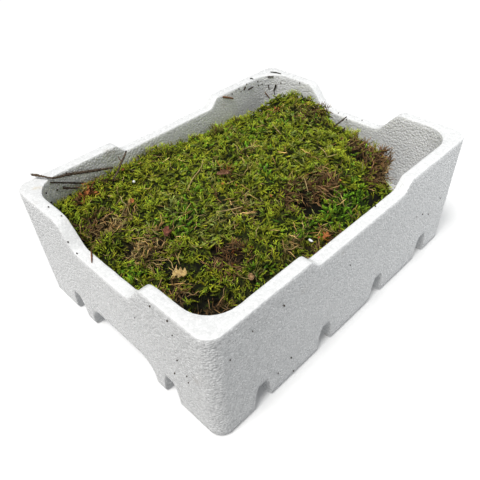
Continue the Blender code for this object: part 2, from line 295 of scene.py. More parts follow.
def addBump(tree, shader, height, strength, distance):
    node = tree.nodes.new("ShaderNodeBump")
    if isinstance(strength, (int, float)):
        node.inputs["Strength"].default_value = strength
    else:
        tree.links.new(strength, node.inputs["Strength"])
    node.inputs["Distance"].default_value = distance
    tree.links.new(height, node.inputs["Height"])
    tree.links.new(node.outputs["Normal"], shader.inputs["Normal"])


def addSpot(tree, place, centre, radius, ragged):
    # a soft spot round a point given in mm, with a ragged edge
    node = tree.nodes.new("ShaderNodeVectorMath")
    node.operation = "DISTANCE"
    node.inputs[1].default_value = Vector(centre) * mm
    tree.links.new(place, node.inputs[0])
    away = addMath(tree, "ADD", node.outputs["Value"], addMath(tree, "MULTIPLY", ragged, radius * mm * 1.6))
    return addRange(tree, away, radius * mm * 0.9, radius * mm * 2.1, 1, 0)


foamLook = dict(
    color=(0.96, 0.965, 0.965), seamColor=(0.78, 0.79, 0.795), grimeColor=(0.38, 0.41, 0.38), beadScale=400,
    beadDepth=0.0008, dirtColor=(0.30, 0.22, 0.13), yellowColor=(0.66, 0.50, 0.22), footDirt=7,
    stains=(                                   # x, y, z, radius, how strong, colour
        (-92, 136.6, 143.5, 7, 0.6, "dirt"), (-84, 136.6, 142, 4, 0.5, "dirt"), (91, 136.6, 132, 5, 0.35, "dirt"),
        (-200, -126, 82, 7, 0.5, "dirt"), (-200, -133, 92, 5, 0.35, "dirt"), (-88, -150, 120, 6, 0.3, "dirt"),
        (-197, 107, 147, 4, 0.3, "dirt"), (186, 118, 110, 6, 0.3, "dirt"), (-34, -150, 127, 4, 0.35, "dirt"),
        (-185, 131, 147.5, 4, 0.55, "yellow"), (-181, 128, 147, 4, 0.45, "yellow"), (-187, 62, 143, 4, 0.3, "yellow"),
    ),
)


def insideTray(tree, split):
    # 1 on the inner faces of the tray's walls, 0 elsewhere
    mask = addRange(tree, split.outputs["Z"], 0.045, 0.05, 0, 1)
    for word, half in (("X", 0.1872), ("Y", 0.1372)):
        away = addMath(tree, "ABSOLUTE", split.outputs[word])
        mask = addMath(tree, "MULTIPLY", mask, addRange(tree, away, half, half + 0.0009, 1, 0))
    return mask


def makeFoamMaterial():
    look = foamLook
    material, tree, shader, place = startMaterial("foamBeads", 0.42, 0.5)
    split = tree.nodes.new("ShaderNodeSeparateXYZ")
    tree.links.new(place, split.inputs["Vector"])
    beads = addCells(tree, place, look["beadScale"])
    seams = addCells(tree, place, look["beadScale"], "DISTANCE_TO_EDGE")
    seam = addRange(tree, seams.outputs["Distance"], 0.0, 0.16, 1, 0)
    broad = addNoise(tree, place, 14, 4)
    ragged = addNoise(tree, place, 160, 4)
    # each bead has its own tone and gloss
    facing = tree.nodes.new("ShaderNodeSeparateXYZ")
    tree.links.new(tree.nodes.new("ShaderNodeNewGeometry").outputs["True Normal"], facing.inputs["Vector"])
    apart = tree.nodes.new("ShaderNodeSeparateColor")
    tree.links.new(beads.outputs["Color"], apart.inputs["Color"])
    tone = addRange(tree, apart.outputs["Red"], 0, 1, 0.93, 1.03)
    color = addMix(tree, addMath(tree, "MULTIPLY", seam, 0.5), look["color"], look["seamColor"])
    color = addMix(tree, 1.0, color, tone, "MULTIPLY")
    color = addMix(tree, 1.0, color, addRange(tree, broad, 0.3, 0.7, 0.97, 1.0), "MULTIPLY")
    # painted shade: the walls are darker towards the near corner, and their beads differ more in tone there
    near = addMath(tree, "ADD", split.outputs["X"], split.outputs["Y"])
    upright = addRange(tree, facing.outputs["Z"], 0.2, 0.5, 1, 0)
    cornerShade = addMath(tree, "MULTIPLY", addRange(tree, near, -0.35, -0.17, 0.75, 0), upright)
    shadedBeads = addMix(tree, 1.0, color, addRange(tree, apart.outputs["Blue"], 0, 1, 0.70, 1.0), "MULTIPLY")
    color = addMix(tree, cornerShade, color, shadedBeads)
    # moist grime sits between the beads beside the moss, most of it at the damp far left corner
    damp = addRange(tree, split.outputs["X"], -0.19, 0.02, 0.72, 0.12)
    wide = addRange(tree, seams.outputs["Distance"], 0.04, 0.34, 1, 0)
    grime = addMath(tree, "MULTIPLY", addMath(tree, "MULTIPLY", insideTray(tree, split), wide), damp)
    grime = addMath(tree, "MULTIPLY", grime, addRange(tree, ragged, 0.3, 0.6, 0.35, 1))
    grime = addMath(tree, "MULTIPLY", grime, upright)
    color = addMix(tree, grime, color, look["grimeColor"])
    for *centre, radius, strong, kind in look["stains"]:
        spot = addSpot(tree, place, centre, radius, ragged)
        speckled = addMath(tree, "MULTIPLY", spot, addRange(tree, ragged, 0.38, 0.72, 0.15, 1))
        color = addMix(tree, addMath(tree, "MULTIPLY", speckled, strong), color, look[kind + "Color"])
    # grime creeps up from the feet
    foot = addRange(tree, split.outputs["Z"], 0.0005, look["footDirt"] * mm, 1, 0)
    foot = addMath(tree, "MULTIPLY", foot, addRange(tree, ragged, 0.5, 0.8, 0, 0.5))
    color = addMix(tree, foot, color, look["dirtColor"])
    tree.links.new(color, shader.inputs["Base Color"])
    gloss = addRange(tree, apart.outputs["Green"], 0, 1, 0.16, 0.60)
    tree.links.new(gloss, shader.inputs["Roughness"])
    dome = addMath(tree, "SUBTRACT", 1, addMath(tree, "MULTIPLY", beads.outputs["Distance"], 1.1))
    dome = addMath(tree, "ADD", dome, addMath(tree, "MULTIPLY", addNoise(tree, place, 900, 2), 0.25))
    # the rim was pressed smoother than the walls
    relief = addRange(tree, facing.outputs["Z"], 0.1, 0.7, 0.95, 0.3)
    addBump(tree, shader, dome, relief, look["beadDepth"])
    return material


def makeShootMaterial():
    # the colour of each shoot is stored on its points, so it runs along the shoot
    material, tree, shader, place = startMaterial("mossShoots", 0.55, 0.12)
    tint = tree.nodes.new("ShaderNodeAttribute")
    tint.attribute_name = "tint"
    grain = addRange(tree, addNoise(tree, place, 1500, 2), 0.3, 0.7, 0.82, 1.12)
    tree.links.new(addMix(tree, 1.0, tint.outputs["Color"], grain, "MULTIPLY"), shader.inputs["Base Color"])
    return material


def makeBedShadeMaterial():
    material, tree, shader, place = startMaterial("mossShadeBed", 0.9, 0.2)
    grain = addNoise(tree, place, 420, 5, 0.7)
    tint = tree.nodes.new("ShaderNodeAttribute")
    tint.attribute_name = "tint"
    # painted shade: near-black where the grain is low, the bed's darkened tint elsewhere
    color = addMix(tree, addRange(tree, grain, 0.42, 0.62, 0, 1), (0.006, 0.006, 0.003), tint.outputs["Color"])
    tree.links.new(color, shader.inputs["Base Color"])
    addBump(tree, shader, grain, 0.9, 0.0015)
    return material


def makeWoodyMaterial(name, dark, mid, light, scale, roughness=0.75):
    # bark, straw and dead leaf: three tones in streaks and flecks
    material, tree, shader, place = startMaterial(name, roughness, 0.3)
    patches = addNoise(tree, place, scale, 4, 0.6)
    flecks = addNoise(tree, place, scale * 5, 3, 0.6)
    color = addMix(tree, addRange(tree, patches, 0.36, 0.62, 0, 1), dark, mid)
    color = addMix(tree, addRange(tree, flecks, 0.52, 0.7, 0, 1), color, light)
    tree.links.new(color, shader.inputs["Base Color"])
    addBump(tree, shader, addMath(tree, "ADD", patches, flecks), 0.8, 0.0004)
    return material


crateShape = dict(
    longestEdge=7.2, waver=0.12, waverSize=17, sag=0.3, sagSize=45,
    chips=(                                    # x, y, z, reach, depth
        (-186.6, -38, 147.5, 4, 1.3), (-200, 38.5, 147.5, 5, 1.1), (-66, -150, 147.5, 4, 0.9),
        (-187, 70, 147.5, 4, 1.1), (20, -136.6, 135.5, 3, 0.7), (187, 66, 147.5, 4, 1.0),
        (-150, -136.6, 147.5, 3, 0.8), (100, -150, 147.5, 4, 0.8), (-198, 120, 147.5, 4, 1.0),
        (-187, 58, 140, 4, 1.3), (-187, 49, 131, 3.5, 1.4), (-187, 41, 124, 4, 1.2), (-187, 8, 119.5, 4, 0.9),
        (-184, 122, 147.5, 4, 1.0), (-187, -14, 119.5, 3.5, 1.0), (-187, -70, 147.5, 4, 1.0),
    ),
)


def splitLongEdges(obj, longest):
    # halves every edge longer than this, again and again; the flat floor is left as it is
    pick(obj)
    mesh = obj.data
    for _ in range(9):
        points = readPoints(mesh) / mm
        ends = np.empty(len(mesh.edges) * 2, int)
        mesh.edges.foreach_get("vertices", ends)
        first, second = points[ends[0::2]], points[ends[1::2]]
        middle = (first + second) / 2
        onFloor = (middle[:, 2] > 20) & (middle[:, 2] < 47) & (abs(middle[:, 0]) < 172) & (abs(middle[:, 1]) < 122)
        tooLong = (np.linalg.norm(first - second, axis=1) > longest) & ~onFloor
        if not tooLong.any():
            break
        bpy.ops.object.mode_set(mode="EDIT")
        bpy.ops.mesh.select_mode(type="EDGE")
        bpy.ops.mesh.select_all(action="DESELECT")
        bpy.ops.object.mode_set(mode="OBJECT")
        mesh.edges.foreach_set("select", tooLong)
        bpy.ops.object.mode_set(mode="EDIT")
        bpy.ops.mesh.subdivide(number_cuts=1)
        bpy.ops.mesh.select_all(action="SELECT")
        bpy.ops.mesh.quads_convert_to_tris(quad_method="SHORTEST_DIAGONAL")
        bpy.ops.object.mode_set(mode="OBJECT")


def makeCrate(material):
    look = crateShape
    crate = cadCopy("foam_box", "foamCrate")
    splitLongEdges(crate, look["longestEdge"])
    # the walls are a little uneven; the beads themselves are in the material
    ripple = bpy.data.textures.new("wallRipple", "CLOUDS")
    ripple.noise_scale = look["waverSize"] * mm
    sway = bpy.data.textures.new("wallSway", "CLOUDS")
    sway.noise_scale = look["sagSize"] * mm
    for texture, strength in ((ripple, look["waver"]), (sway, look["sag"])):
        displace = crate.modifiers.new(texture.name, "DISPLACE")
        displace.texture = texture
        displace.texture_coords = "LOCAL"
        displace.strength = strength * mm
        displace.mid_level = 0.5
    applyModifiers(crate)
    points = readPoints(crate.data)
    for x, y, z, reach, depth in look["chips"]:
        away = np.linalg.norm(points - np.array((x, y, z)) * mm, axis=1) / (reach * mm)
        inward = np.array((-np.sign(x) * 0.5 * (abs(x) > 190), -np.sign(y) * 0.5 * (abs(y) > 140), -0.8))
        points += (depth * mm * np.exp(-(away ** 2)))[:, None] * inward
    points[:, 2] = np.maximum(points[:, 2], 0)
    writePoints(crate.data, points)
    finishPiece(crate, material, "foam", "foam_box", smoothAngle=40)
    crate.data.calc_loop_triangles()
    print("foam crate:", len(crate.data.loop_triangles), "triangles")
    return crate


# each kind of growth: colour at the root and at the tip, how steeply it rises in degrees, its size
kinds = dict(
    yellow=dict(root=(0.085, 0.115, 0.008), tip=(0.80, 0.93, 0.075), rise=(8, 40), size=(0.90, 1.30)),
    pale=dict(root=(0.150, 0.170, 0.035), tip=(0.90, 0.94, 0.230), rise=(8, 36), size=(0.85, 1.25)),
    green=dict(root=(0.035, 0.085, 0.005), tip=(0.36, 0.68, 0.045), rise=(30, 70), size=(0.85, 1.20)),
    olive=dict(root=(0.050, 0.050, 0.010), tip=(0.38, 0.36, 0.070), rise=(10, 45), size=(0.80, 1.20)),
    tan=dict(root=(0.110, 0.072, 0.026), tip=(0.78, 0.53, 0.215), rise=(4, 26), size=(0.80, 1.20)),
    brown=dict(root=(0.045, 0.026, 0.012), tip=(0.40, 0.235, 0.105), rise=(5, 45), size=(0.80, 1.30)),
    rust=dict(root=(0.100, 0.036, 0.012), tip=(0.55, 0.200, 0.065), rise=(8, 40), size=(0.70, 1.10)),
    # the dark kind is painted shade: near-black colour for the hollows and rifts in the mat
    dark=dict(root=(0.008, 0.008, 0.004), tip=(0.060, 0.054, 0.020), rise=(5, 30), size=(0.80, 1.10)),
)
kindNames = list(kinds)

# patches of the moss seen from above: kind, x, y, half sizes, turn in degrees, how strong; dark patches paint the shade
# of hollows
patches = (
    ("rust", -138, 112, 12, 11, 0, 0.75), ("brown", -128, 122, 30, 7, 0, 0.4),
    ("tan", -150, 58, 27, 15, -12, 0.85), ("brown", -165, 72, 17, 8, 20, 0.7),
    ("dark", -158, 24, 8, 7, 0, 0.95), ("tan", -143, 6, 21, 20, 0, 0.85), ("brown", -132, -8, 10, 9, 0, 0.6),
    ("green", -100, 8, 24, 19, 0, 0.85), ("green", -56, 20, 9, 8, 0, 0.8), ("green", -176, -5, 12, 17, 0, 0.8),
    ("green", 42, -97, 40, 19, 0, 0.92), ("green", 15, -5, 13, 9, 0, 0.45), ("green", 60, 60, 60, 16, 30, 0.3),
    ("pale", -88, 28, 14, 9, 0, 0.7), ("pale", -70, -20, 22, 11, 0, 0.7), ("pale", -95, -36, 18, 7, 0, 0.5),
    ("rust", -92, -57, 26, 8, 4, 0.45), ("dark", -140, -32, 17, 7, -38, 0.97), ("dark", -99, -47, 31, 6.5, -4, 0.97),
    ("brown", -92, -60, 27, 15, 6, 0.85), ("tan", -152, -46, 10, 12, 0, 0.7), ("brown", -160, -60, 14, 20, 0, 0.5),
    ("dark", -36, -45, 12, 6, 0, 0.97), ("dark", 0, -36, 4, 4, 0, 0.95), ("tan", -40, -27, 26, 15, 20, 0.45),
    ("brown", 14, -54, 28, 15, 0, 0.85), ("dark", 20, -69, 18, 15, 0, 0.99), ("dark", 57, -93, 6, 6, 0, 0.85),
    ("brown", 48, -64, 23, 17, 0, 0.8), ("tan", -34, -97, 18, 10, 0, 0.7), ("rust", -8, -111, 7, 5, 0, 0.7),
    ("brown", 138, -56, 19, 24, -35, 0.93), ("brown", 120, -90, 32, 12, 22, 0.95), ("dark", 82, -110, 24, 10, 18, 0.85),
    ("olive", 147, 30, 22, 20, 0, 0.7), ("brown", 150, 32, 20, 16, 0, 0.4), ("tan", 27, 35, 8, 7, 0, 0.85),
    ("rust", 130, 78, 7, 6, 0, 0.6), ("rust", -18, 25, 6, 5, 0, 0.7), ("rust", -28, 3, 4, 3, 0, 0.7),
    ("dark", -40, 120, 8, 6, 0, 0.6), ("brown", 62, 103, 11, 9, 0, 0.6), ("olive", -40, 118, 24, 12, 0, 0.5),
    ("dark", -145, -80, 22, 22, 0, 0.6), ("brown", -150, -98, 24, 17, 0, 0.75), ("brown", -50, -124, 80, 9, 0, 0.6), ("dark", -110, -108, 60, 9, 0, 0.45),
    ("olive", -60, -100, 60, 20, 0, 0.45), ("green", -75, -95, 22, 10, 0, 0.45), ("green", -15, -88, 22, 14, 0, 0.6),
    ("brown", -50, 0, 8, 6, 0, 0.7), ("olive", 165, 75, 14, 24, 0, 0.4), ("green", 128, -55, 10, 14, 0, 0.3),
    ("olive", -20, 60, 200, 80, 0, 0.10), ("pale", 40, 20, 150, 80, 0, 0.14), ("green", 60, 60, 130, 60, 0, 0.12),
)


def kindAt(x, y, dice):
    # the kind of growth at each place in plan, with ragged borders
    found = np.zeros(len(x), int)
    warpX = x + 5 * waves(x, y, 17, 5)
    warpY = y + 5 * waves(x, y, 17, 6)
    for kind, px, py, rx, ry, turn, strong in patches:
        c, s = math.cos(math.radians(turn)), math.sin(math.radians(turn))
        u = ((warpX - px) * c + (warpY - py) * s) / rx
        v = (-(warpX - px) * s + (warpY - py) * c) / ry
        mask = strong * np.clip((1.25 - np.hypot(u, v)) / 0.5, 0, 1)
        found = np.where(dice.random(len(x)) < mask, kindNames.index(kind), found)
    return found


# length of the stem, leaves on it, leaf length, spread from the stem in degrees,
# and side shoots: place along the stem, angle, length
shootForms = (
    dict(length=8.6, leaves=14, leaf=1.9, spread=50, sides=((0.25, 48, 4.6), (0.5, -52, 4.0))),
    dict(length=7.8, leaves=12, leaf=1.8, spread=54, sides=((0.2, -56, 4.4), (0.45, 48, 4.0))),
    dict(length=7.0, leaves=15, leaf=2.0, spread=46, sides=()),
    dict(length=9.6, leaves=16, leaf=1.8, spread=50, sides=((0.42, 42, 4.6),)),
    dict(length=6.5, leaves=16, leaf=3.1, spread=50, sides=()),
    dict(length=10.0, leaves=6, leaf=4.6, spread=30, sides=(), wide=1.25, bare=True),
)


def modelLeaf():
    # a pointed keeled leaf of unit length along X, from a three-sided cone
    deselectAll()
    bpy.ops.mesh.primitive_cone_add(vertices=3, radius1=0.5, radius2=0, depth=1, location=(0, 0, 0))
    leaf = bpy.context.object
    bpy.ops.object.mode_set(mode="EDIT")
    bpy.ops.mesh.select_all(action="SELECT")
    bpy.ops.transform.translate(value=(0, 0, 0.5))
    bpy.ops.transform.resize(value=(0.34, 0.5, 1), center_override=(0, 0, 0))
    bpy.ops.object.mode_set(mode="OBJECT")
    points = readPoints(leaf.data)
    faces = readTriangles(leaf.data)
    bpy.data.objects.remove(leaf)
    return np.stack((points[:, 2], points[:, 1], -points[:, 0]), 1), faces


def turned(points, yaw, pitch, roll=0.0):
    cr, sr = math.cos(roll), math.sin(roll)
    cp, sp = math.cos(pitch), math.sin(pitch)
    cy, sy = math.cos(yaw), math.sin(yaw)
    x, y, z = points.T
    y, z = y * cr - z * sr, y * sr + z * cr
    x, z = x * cp - z * sp, x * sp + z * cp
    x, y = x * cy - y * sy, x * sy + y * cy
    return np.stack((x, y, z), 1)


def growStem(length, thick):
    # a closed three-sided stem with one joint
    rings = [(0, thick), (length * 0.5, thick * 0.8)]
    points = [(x, r * math.cos(a), r * math.sin(a)) for x, r in rings for a in (0.4, 2.5, 4.6)]
    points.append((length, 0, 0))
    faces = [(0, 2, 1)]
    for k in range(3):
        n = (k + 1) % 3
        faces += [(k, n, 3 + n), (k, 3 + n, 3 + k), (3 + k, 3 + n, 6)]
    return np.array(points, float), np.array(faces)


def growShoot(form, leafPoints, leafFaces):
    # returns points, faces, how far along the shoot each point is and how light it is, darkened as painted shade
    # towards each leaf's base
    points, faces, along, light = [], [], [], []
    count = 0

    def add(newPoints, newFaces, newAlong, newShading):
        nonlocal count
        points.append(newPoints)
        faces.append(newFaces + count)
        along.append(newAlong)
        light.append(newShading)
        count += len(newPoints)

    def branch(root, yaw, pitch, length, leaves, leafSize, start, end):
        if not form.get("bare"):
            stem, stemFaces = growStem(length, 0.20)
            add(turned(stem, yaw, pitch) + root, stemFaces, start + (end - start) * stem[:, 0] / length,
                np.full(len(stem), 0.75))
        for k in range(leaves):
            t = (k + 1) / leaves
            size = leafSize * (1.0 - 0.45 * t ** 2) * (0.8 if k == 0 else 1)
            spread = math.radians(form["spread"]) * (1 - 0.9 * t ** 4)
            around = k * 2.39996
            leaf = leafPoints * size * (1, form.get("wide", 1), 1)
            leaf = turned(leaf, 0, 0, around * 1.7)
            leaf = turned(leaf, spread * math.cos(around), 0.72 * spread * math.sin(around))
            leaf[:, 0] += length * (0.12 + 0.85 * t)
            # painted shade and light: each leaf darkens towards its base, where it meets the stem, and brightens
            # towards its tip
            add(turned(leaf, yaw, pitch) + root, leafFaces, np.full(len(leaf), start + (end - start) * t),
                0.72 + 0.5 * leafPoints[:, 0])

    branch(np.zeros(3), 0, 0, form["length"], form["leaves"], form["leaf"], 0, 1)
    for place, angle, length in form["sides"]:
        root = np.array((form["length"] * place, 0, 0))
        branch(root, math.radians(angle), math.radians(9), length, 6, form["leaf"] * 0.86, place * 0.8, 0.92)
    return np.concatenate(points), np.concatenate(faces), np.concatenate(along), np.concatenate(light)


mossShape = dict(
    seed=20, shoots=7500, underShoots=5200, fibreTries=9000, pieces=5,
    bedVoxel=4.2, bedDepth=5.6, bedSideDepth=1.2, bedRough=1.3,
    wall=(186.0, 136.0), wallCorner=30.4, floor=46.3,
)

# single shoots that stand out against the foam: x, y, height above the moss, lean, heading, size, kind
standouts = (
    (-30, 130, 7, 75, 100, 1.0, "olive"), (-24, 127, 5, 70, 60, 1.1, "yellow"), (-13, 122, 6, 70, 90, 1.1, "olive"),
    (1, 122, 7, 80, 40, 1.2, "olive"), (37, 102, 9, 70, 120, 1.3, "olive"), (43, 103, 11, 78, 90, 1.4, "brown"),
    (47, 101, 10, 65, 60, 1.3, "olive"), (54, 101, 9, 75, 80, 1.3, "brown"), (60, 104, 6, 70, 130, 1.1, "yellow"),
    (87, 110, 8, 75, 80, 1.2, "olive"), (92, 110, 6, 80, 140, 1.0, "brown"), (97, 109, 8, 72, 60, 1.2, "yellow"),
    (104, 106, 5, 60, 60, 1.1, "yellow"), (-53, 132, 4, 60, 80, 1.1, "olive"), (-62, 131, 4, 60, 120, 1.0, "yellow"),
    (161, 82, 5, 75, 80, 1.2, "yellow"), (168, 81, 6, 70, 40, 1.2, "pale"), (173, 79, 5, 70, 60, 1.2, "yellow"),
    (178, 62, 5, 60, 20, 1.2, "olive"), (181, 44, 5, 60, 10, 1.2, "brown"), (181, 30, 6, 55, 0, 1.2, "brown"),
    (158, -20, 7, 55, 10, 1.4, "yellow"), (164, -22, 8, 50, -20, 1.4, "yellow"), (168, -25, 5, 40, -10, 1.3, "pale"),
    (160, -30, 6, 60, 30, 1.3, "olive"), (155, -45, 6, 45, 0, 1.3, "olive"), (149, -60, 7, 50, -10, 1.3, "yellow"),
    (150, -70, 8, 35, -5, 1.5, "brown"), (146, -76, 9, 40, 5, 1.6, "brown"), (148, -81, 9, 45, -15, 1.6, "brown"),
    (141, -87, 7, 50, -20, 1.5, "brown"), (135, -90, 6, 30, -10, 1.4, "brown"), (126, -93, 6, 40, -40, 1.3, "tan"),
    (-182, -2, 4, 35, 180, 1.0, "yellow"), (-183, -12, 4, 30, 190, 1.0, "green"),
    (-46, 129, 6, 70, 80, 1.1, "olive"), (-42, 128, 7, 75, 110, 1.1, "yellow"), (60, 126, 7, 72, 90, 1.2, "olive"),
    (64, 126, 8, 78, 60, 1.3, "yellow"), (67, 125, 6, 70, 120, 1.1, "olive"), (-140, 111, 6, 60, 60, 1.1, "rust"),
    (-146, 110, 7, 70, 120, 1.1, "rust"), (-150, 111, 5, 55, 100, 1.0, "brown"), (-118, 130, 4, 60, 80, 1.0, "olive"),
    (-100, 131, 4, 60, 100, 1.0, "yellow"), (-82, 132, 4, 60, 90, 1.0, "olive"), (-165, 124, 4, 55, 60, 1.0, "olive"),
    (-172, 112, 4, 50, 20, 1.0, "yellow"), (-176, 90, 4, 50, 170, 1.0, "olive"), (20, 124, 5, 65, 80, 1.1, "yellow"),
)


def sampleSurface(points, normals, triangles, weights, count, dice):
    # evenly spread places on the triangles, more where the weight is larger
    corners = points[triangles]
    area = np.linalg.norm(np.cross(corners[:, 1] - corners[:, 0], corners[:, 2] - corners[:, 0]), axis=1) / 2
    total = np.cumsum(area * weights)
    steps = (np.arange(count) + dice.random(count)) / count * total[-1]
    chosen = np.searchsorted(total, steps)
    a, b = dice.random(count), dice.random(count)
    flip = a + b > 1
    a, b = np.where(flip, 1 - a, a), np.where(flip, 1 - b, b)
    mix = np.stack((1 - a - b, a, b), 1)[:, :, None]
    normal = (normals[triangles[chosen]] * mix).sum(1)
    return (corners[chosen] * mix).sum(1), normal / np.linalg.norm(normal, axis=1)[:, None]


def keepInCrate(points):
    # nothing pokes into the foam walls or the tray's floor; over the sunken rims it may lean out
    half = np.array(mossShape["wall"])
    corner = mossShape["wallCorner"]
    height = points[:, 2]
    overRim = ((abs(points[:, 1]) < 36) & (height > 121)) | ((abs(points[:, 0]) < 64) & (height > 137))
    past = abs(points[:, :2]) - (half - corner)
    both = (past > 0).all(1)
    reach = np.linalg.norm(past, axis=1)
    shrink = np.where(both & (reach > corner), corner / np.maximum(reach, 1e-9), 1)
    pulled = np.where(both[:, None], past * shrink[:, None], np.minimum(past, corner))
    inside = np.sign(points[:, :2]) * (pulled + half - corner)
    points[:, :2] = np.where(overRim[:, None], points[:, :2], inside)
    points[:, 2] = np.maximum(height, mossShape["floor"])
    return points


def meshFromArrays(name, points, faces, colors):
    mesh = bpy.data.meshes.new(name)
    mesh.vertices.add(len(points))
    mesh.vertices.foreach_set("co", np.asarray(points, np.float32).ravel())
    mesh.loops.add(len(faces) * 3)
    mesh.loops.foreach_set("vertex_index", np.asarray(faces, np.int32).ravel())
    mesh.polygons.add(len(faces))
    mesh.polygons.foreach_set("loop_start", np.arange(len(faces), dtype=np.int32) * 3)
    mesh.update(calc_edges=True)
    mesh.validate()
    tint = mesh.attributes.new("tint", "FLOAT_COLOR", "POINT")
    rgba = np.concatenate((colors, np.ones((len(colors), 1))), 1)
    tint.data.foreach_set("color", np.asarray(rgba, np.float32).ravel())
    obj = bpy.data.objects.new(name, mesh)
    bpy.context.scene.collection.objects.link(obj)
    return obj


def plant(form, spots, normals, headings, rises, sizes, depths, curls, sways, rolls, roots, tips):
    # one copy of a shoot form at each spot, all at once
    points, faces, along, light = form
    count = len(spots)
    flat = np.stack((np.cos(headings), np.sin(headings), np.zeros(count)), 1)
    tangent = flat - normals * (flat * normals).sum(1)[:, None]
    tangent /= np.linalg.norm(tangent, axis=1)[:, None]
    forward = tangent * np.cos(rises)[:, None] + normals * np.sin(rises)[:, None]
    side = np.cross(normals, tangent)
    up = np.cross(forward, side)
    side, up = (side * np.cos(rolls)[:, None] + up * np.sin(rolls)[:, None],
                up * np.cos(rolls)[:, None] - side * np.sin(rolls)[:, None])
    reach = points[:, 0].max()
    t = points[:, 0] / reach
    local = np.repeat(points[None], count, 0)
    local[:, :, 2] += curls[:, None] * t[None] ** 2 * reach
    local[:, :, 1] += sways[:, None] * t[None] ** 2 * reach
    local *= sizes[:, None, None]
    root = spots - normals * depths[:, None]
    world = root[:, None] + (local[:, :, :1] * forward[:, None] + local[:, :, 1:2] * side[:, None]
                             + local[:, :, 2:] * up[:, None])
    # roots darker than tips: partly the older base of each shoot, partly painted shade low in the mat; the painted
    # shade along each leaf and strand is multiplied in
    blend = np.clip(along * 1.25 - 0.1, 0, 1)[None, :, None]
    color = (roots[:, None] * (1 - blend) + tips[:, None] * blend) * light[None, :, None]
    index = faces[None] + (np.arange(count) * len(points))[:, None, None]
    return keepInCrate(world.reshape(-1, 3)), index.reshape(-1, 3), color.reshape(-1, 3)


def growFibre(length, thick):
    # a closed three-sided strand with a kink at each of its rings
    rings = [(0, 0.5, 0.0), (0.25, 1.0, 0.05), (0.5, 0.95, -0.04), (0.75, 0.8, 0.05)]
    points = [(s * length, side * length + thick * r * math.cos(a), thick * r * math.sin(a))
              for s, r, side in rings for a in (0.4, 2.5, 4.6)]
    points.append((length, 0, 0))
    faces = [(0, 2, 1)]
    for ring in range(4):
        for k in range(3):
            a, b = ring * 3 + k, ring * 3 + (k + 1) % 3
            faces += [(a, b, 12)] if ring == 3 else [(a, b, b + 3), (a, b + 3, a + 3)]
    points = np.array(points, float)
    along = points[:, 0] / length
    # painted shade: each strand is darker towards its root
    return points, np.array(faces), along, 0.8 + 0.3 * along


def joinArrays(parts):
    points, faces, colors, start = [], [], [], 0
    for p, f, c in parts:
        points.append(p)
        faces.append(f + start)
        colors.append(c)
        start += len(p)
    return np.concatenate(points), np.concatenate(faces), np.concatenate(colors)


def makeBed(form, material):
    # the older growth under the shoots, darkened as painted shade for the gaps between them
    look = mossShape
    bed = form
    remesh = bed.modifiers.new("evenSkin", "REMESH")
    remesh.mode = "VOXEL"
    remesh.voxel_size = look["bedVoxel"] * mm
    applyModifiers(bed)
    points, normals = readPoints(bed.data), readNormals(bed.data)
    x, y, z = points.T / mm
    rough = 0.6 * waves(x + z, y - z, 9, 31) + 0.4 * waves(x - z, y + z, 5, 32)
    top = np.clip((normals[:, 2] - 0.1) / 0.4, 0, 1)
    depth = look["bedSideDepth"] + (look["bedDepth"] - look["bedSideDepth"]) * top
    depth = depth + look["bedRough"] * rough * (0.25 + 0.75 * top)
    points -= normals * depth[:, None] * mm
    writePoints(bed.data, points)
    # painted shade: the bed takes a darkened tone of what grows over it, so the gaps between shoots look like shaded
    # moss
    dice = np.random.default_rng(look["seed"] + 1)
    kind = kindAt(x, y, dice)
    shade = 0.55 * np.exp(dice.normal(0, 0.35, len(x)))
    colors = kindColumn(kind, "root") * shade[:, None]
    tint = bed.data.attributes.new("tint", "FLOAT_COLOR", "POINT")
    rgba = np.concatenate((colors, np.ones((len(colors), 1))), 1)
    tint.data.foreach_set("color", np.asarray(rgba, np.float32).ravel())
    finishPiece(bed, material, "moss", "moss_clump")
    print("moss bed:", len(bed.data.polygons) * 2, "triangles")
    return bed


def kindColumn(kind, word, part=None):
    # one value of each place's kind, as an array
    values = [kinds[name][word] if part is None else kinds[name][word][part] for name in kindNames]
    return np.array(values)[kind]


def isKind(kind, *names):
    return np.isin(kind, [kindNames.index(name) for name in names])


def chooseSpots(surface, count, dice):
    # places on the moss, what grows there, and whether the crate's walls hide them
    points, normals, triangles = surface
    facing = normals[triangles].mean(1)
    centre = points[triangles].mean(1)
    openSide = (centre[:, 0] > 80) & (facing[:, 0] > 0.2)
    weights = np.where(facing[:, 2] > 0.3, 1.0, np.where(facing[:, 2] < -0.5, 0.10, 0.22))
    weights = np.where(openSide & (facing[:, 2] <= 0.3) & (facing[:, 2] > -0.5), 0.9, weights)
    spots, out = sampleSurface(points, normals, triangles, weights, count, dice)
    x, y, z = spots.T
    kind = kindAt(x, y, dice)
    hidden = (out[:, 2] < 0.25) & ~((x > 80) & (out[:, 0] > 0.2))
    low = (z < 100) & (x > 80)
    old = (hidden & (dice.random(count) < 0.75)) | (low & (dice.random(count) < 0.7))
    return spots, out, np.where(old, kindNames.index("brown"), kind), hidden


def tintFor(count, x, y, spread, dice):
    # a little lighter or darker, warmer or cooler, for each shoot and from cushion to cushion
    bright = np.exp(dice.normal(0, spread, count)) * (1 + 0.13 * waves(x, y, 26, 12))
    warm = dice.normal(0, 0.10, count)
    return np.stack((1 + warm, np.ones(count), 1 - 0.6 * warm), 1) * bright[:, None]


def underLitter(x, y):
    # where a leaf scrap or a foam crumb lies on the moss
    found = np.zeros(len(x), bool)
    for look in (*scraps.values(), *crumbs.values()):
        reach = 0.42 * max(look["length"], look["width"]) + 0.6
        found |= np.hypot(x - look["place"][0], y - look["place"][1]) < reach
    return found


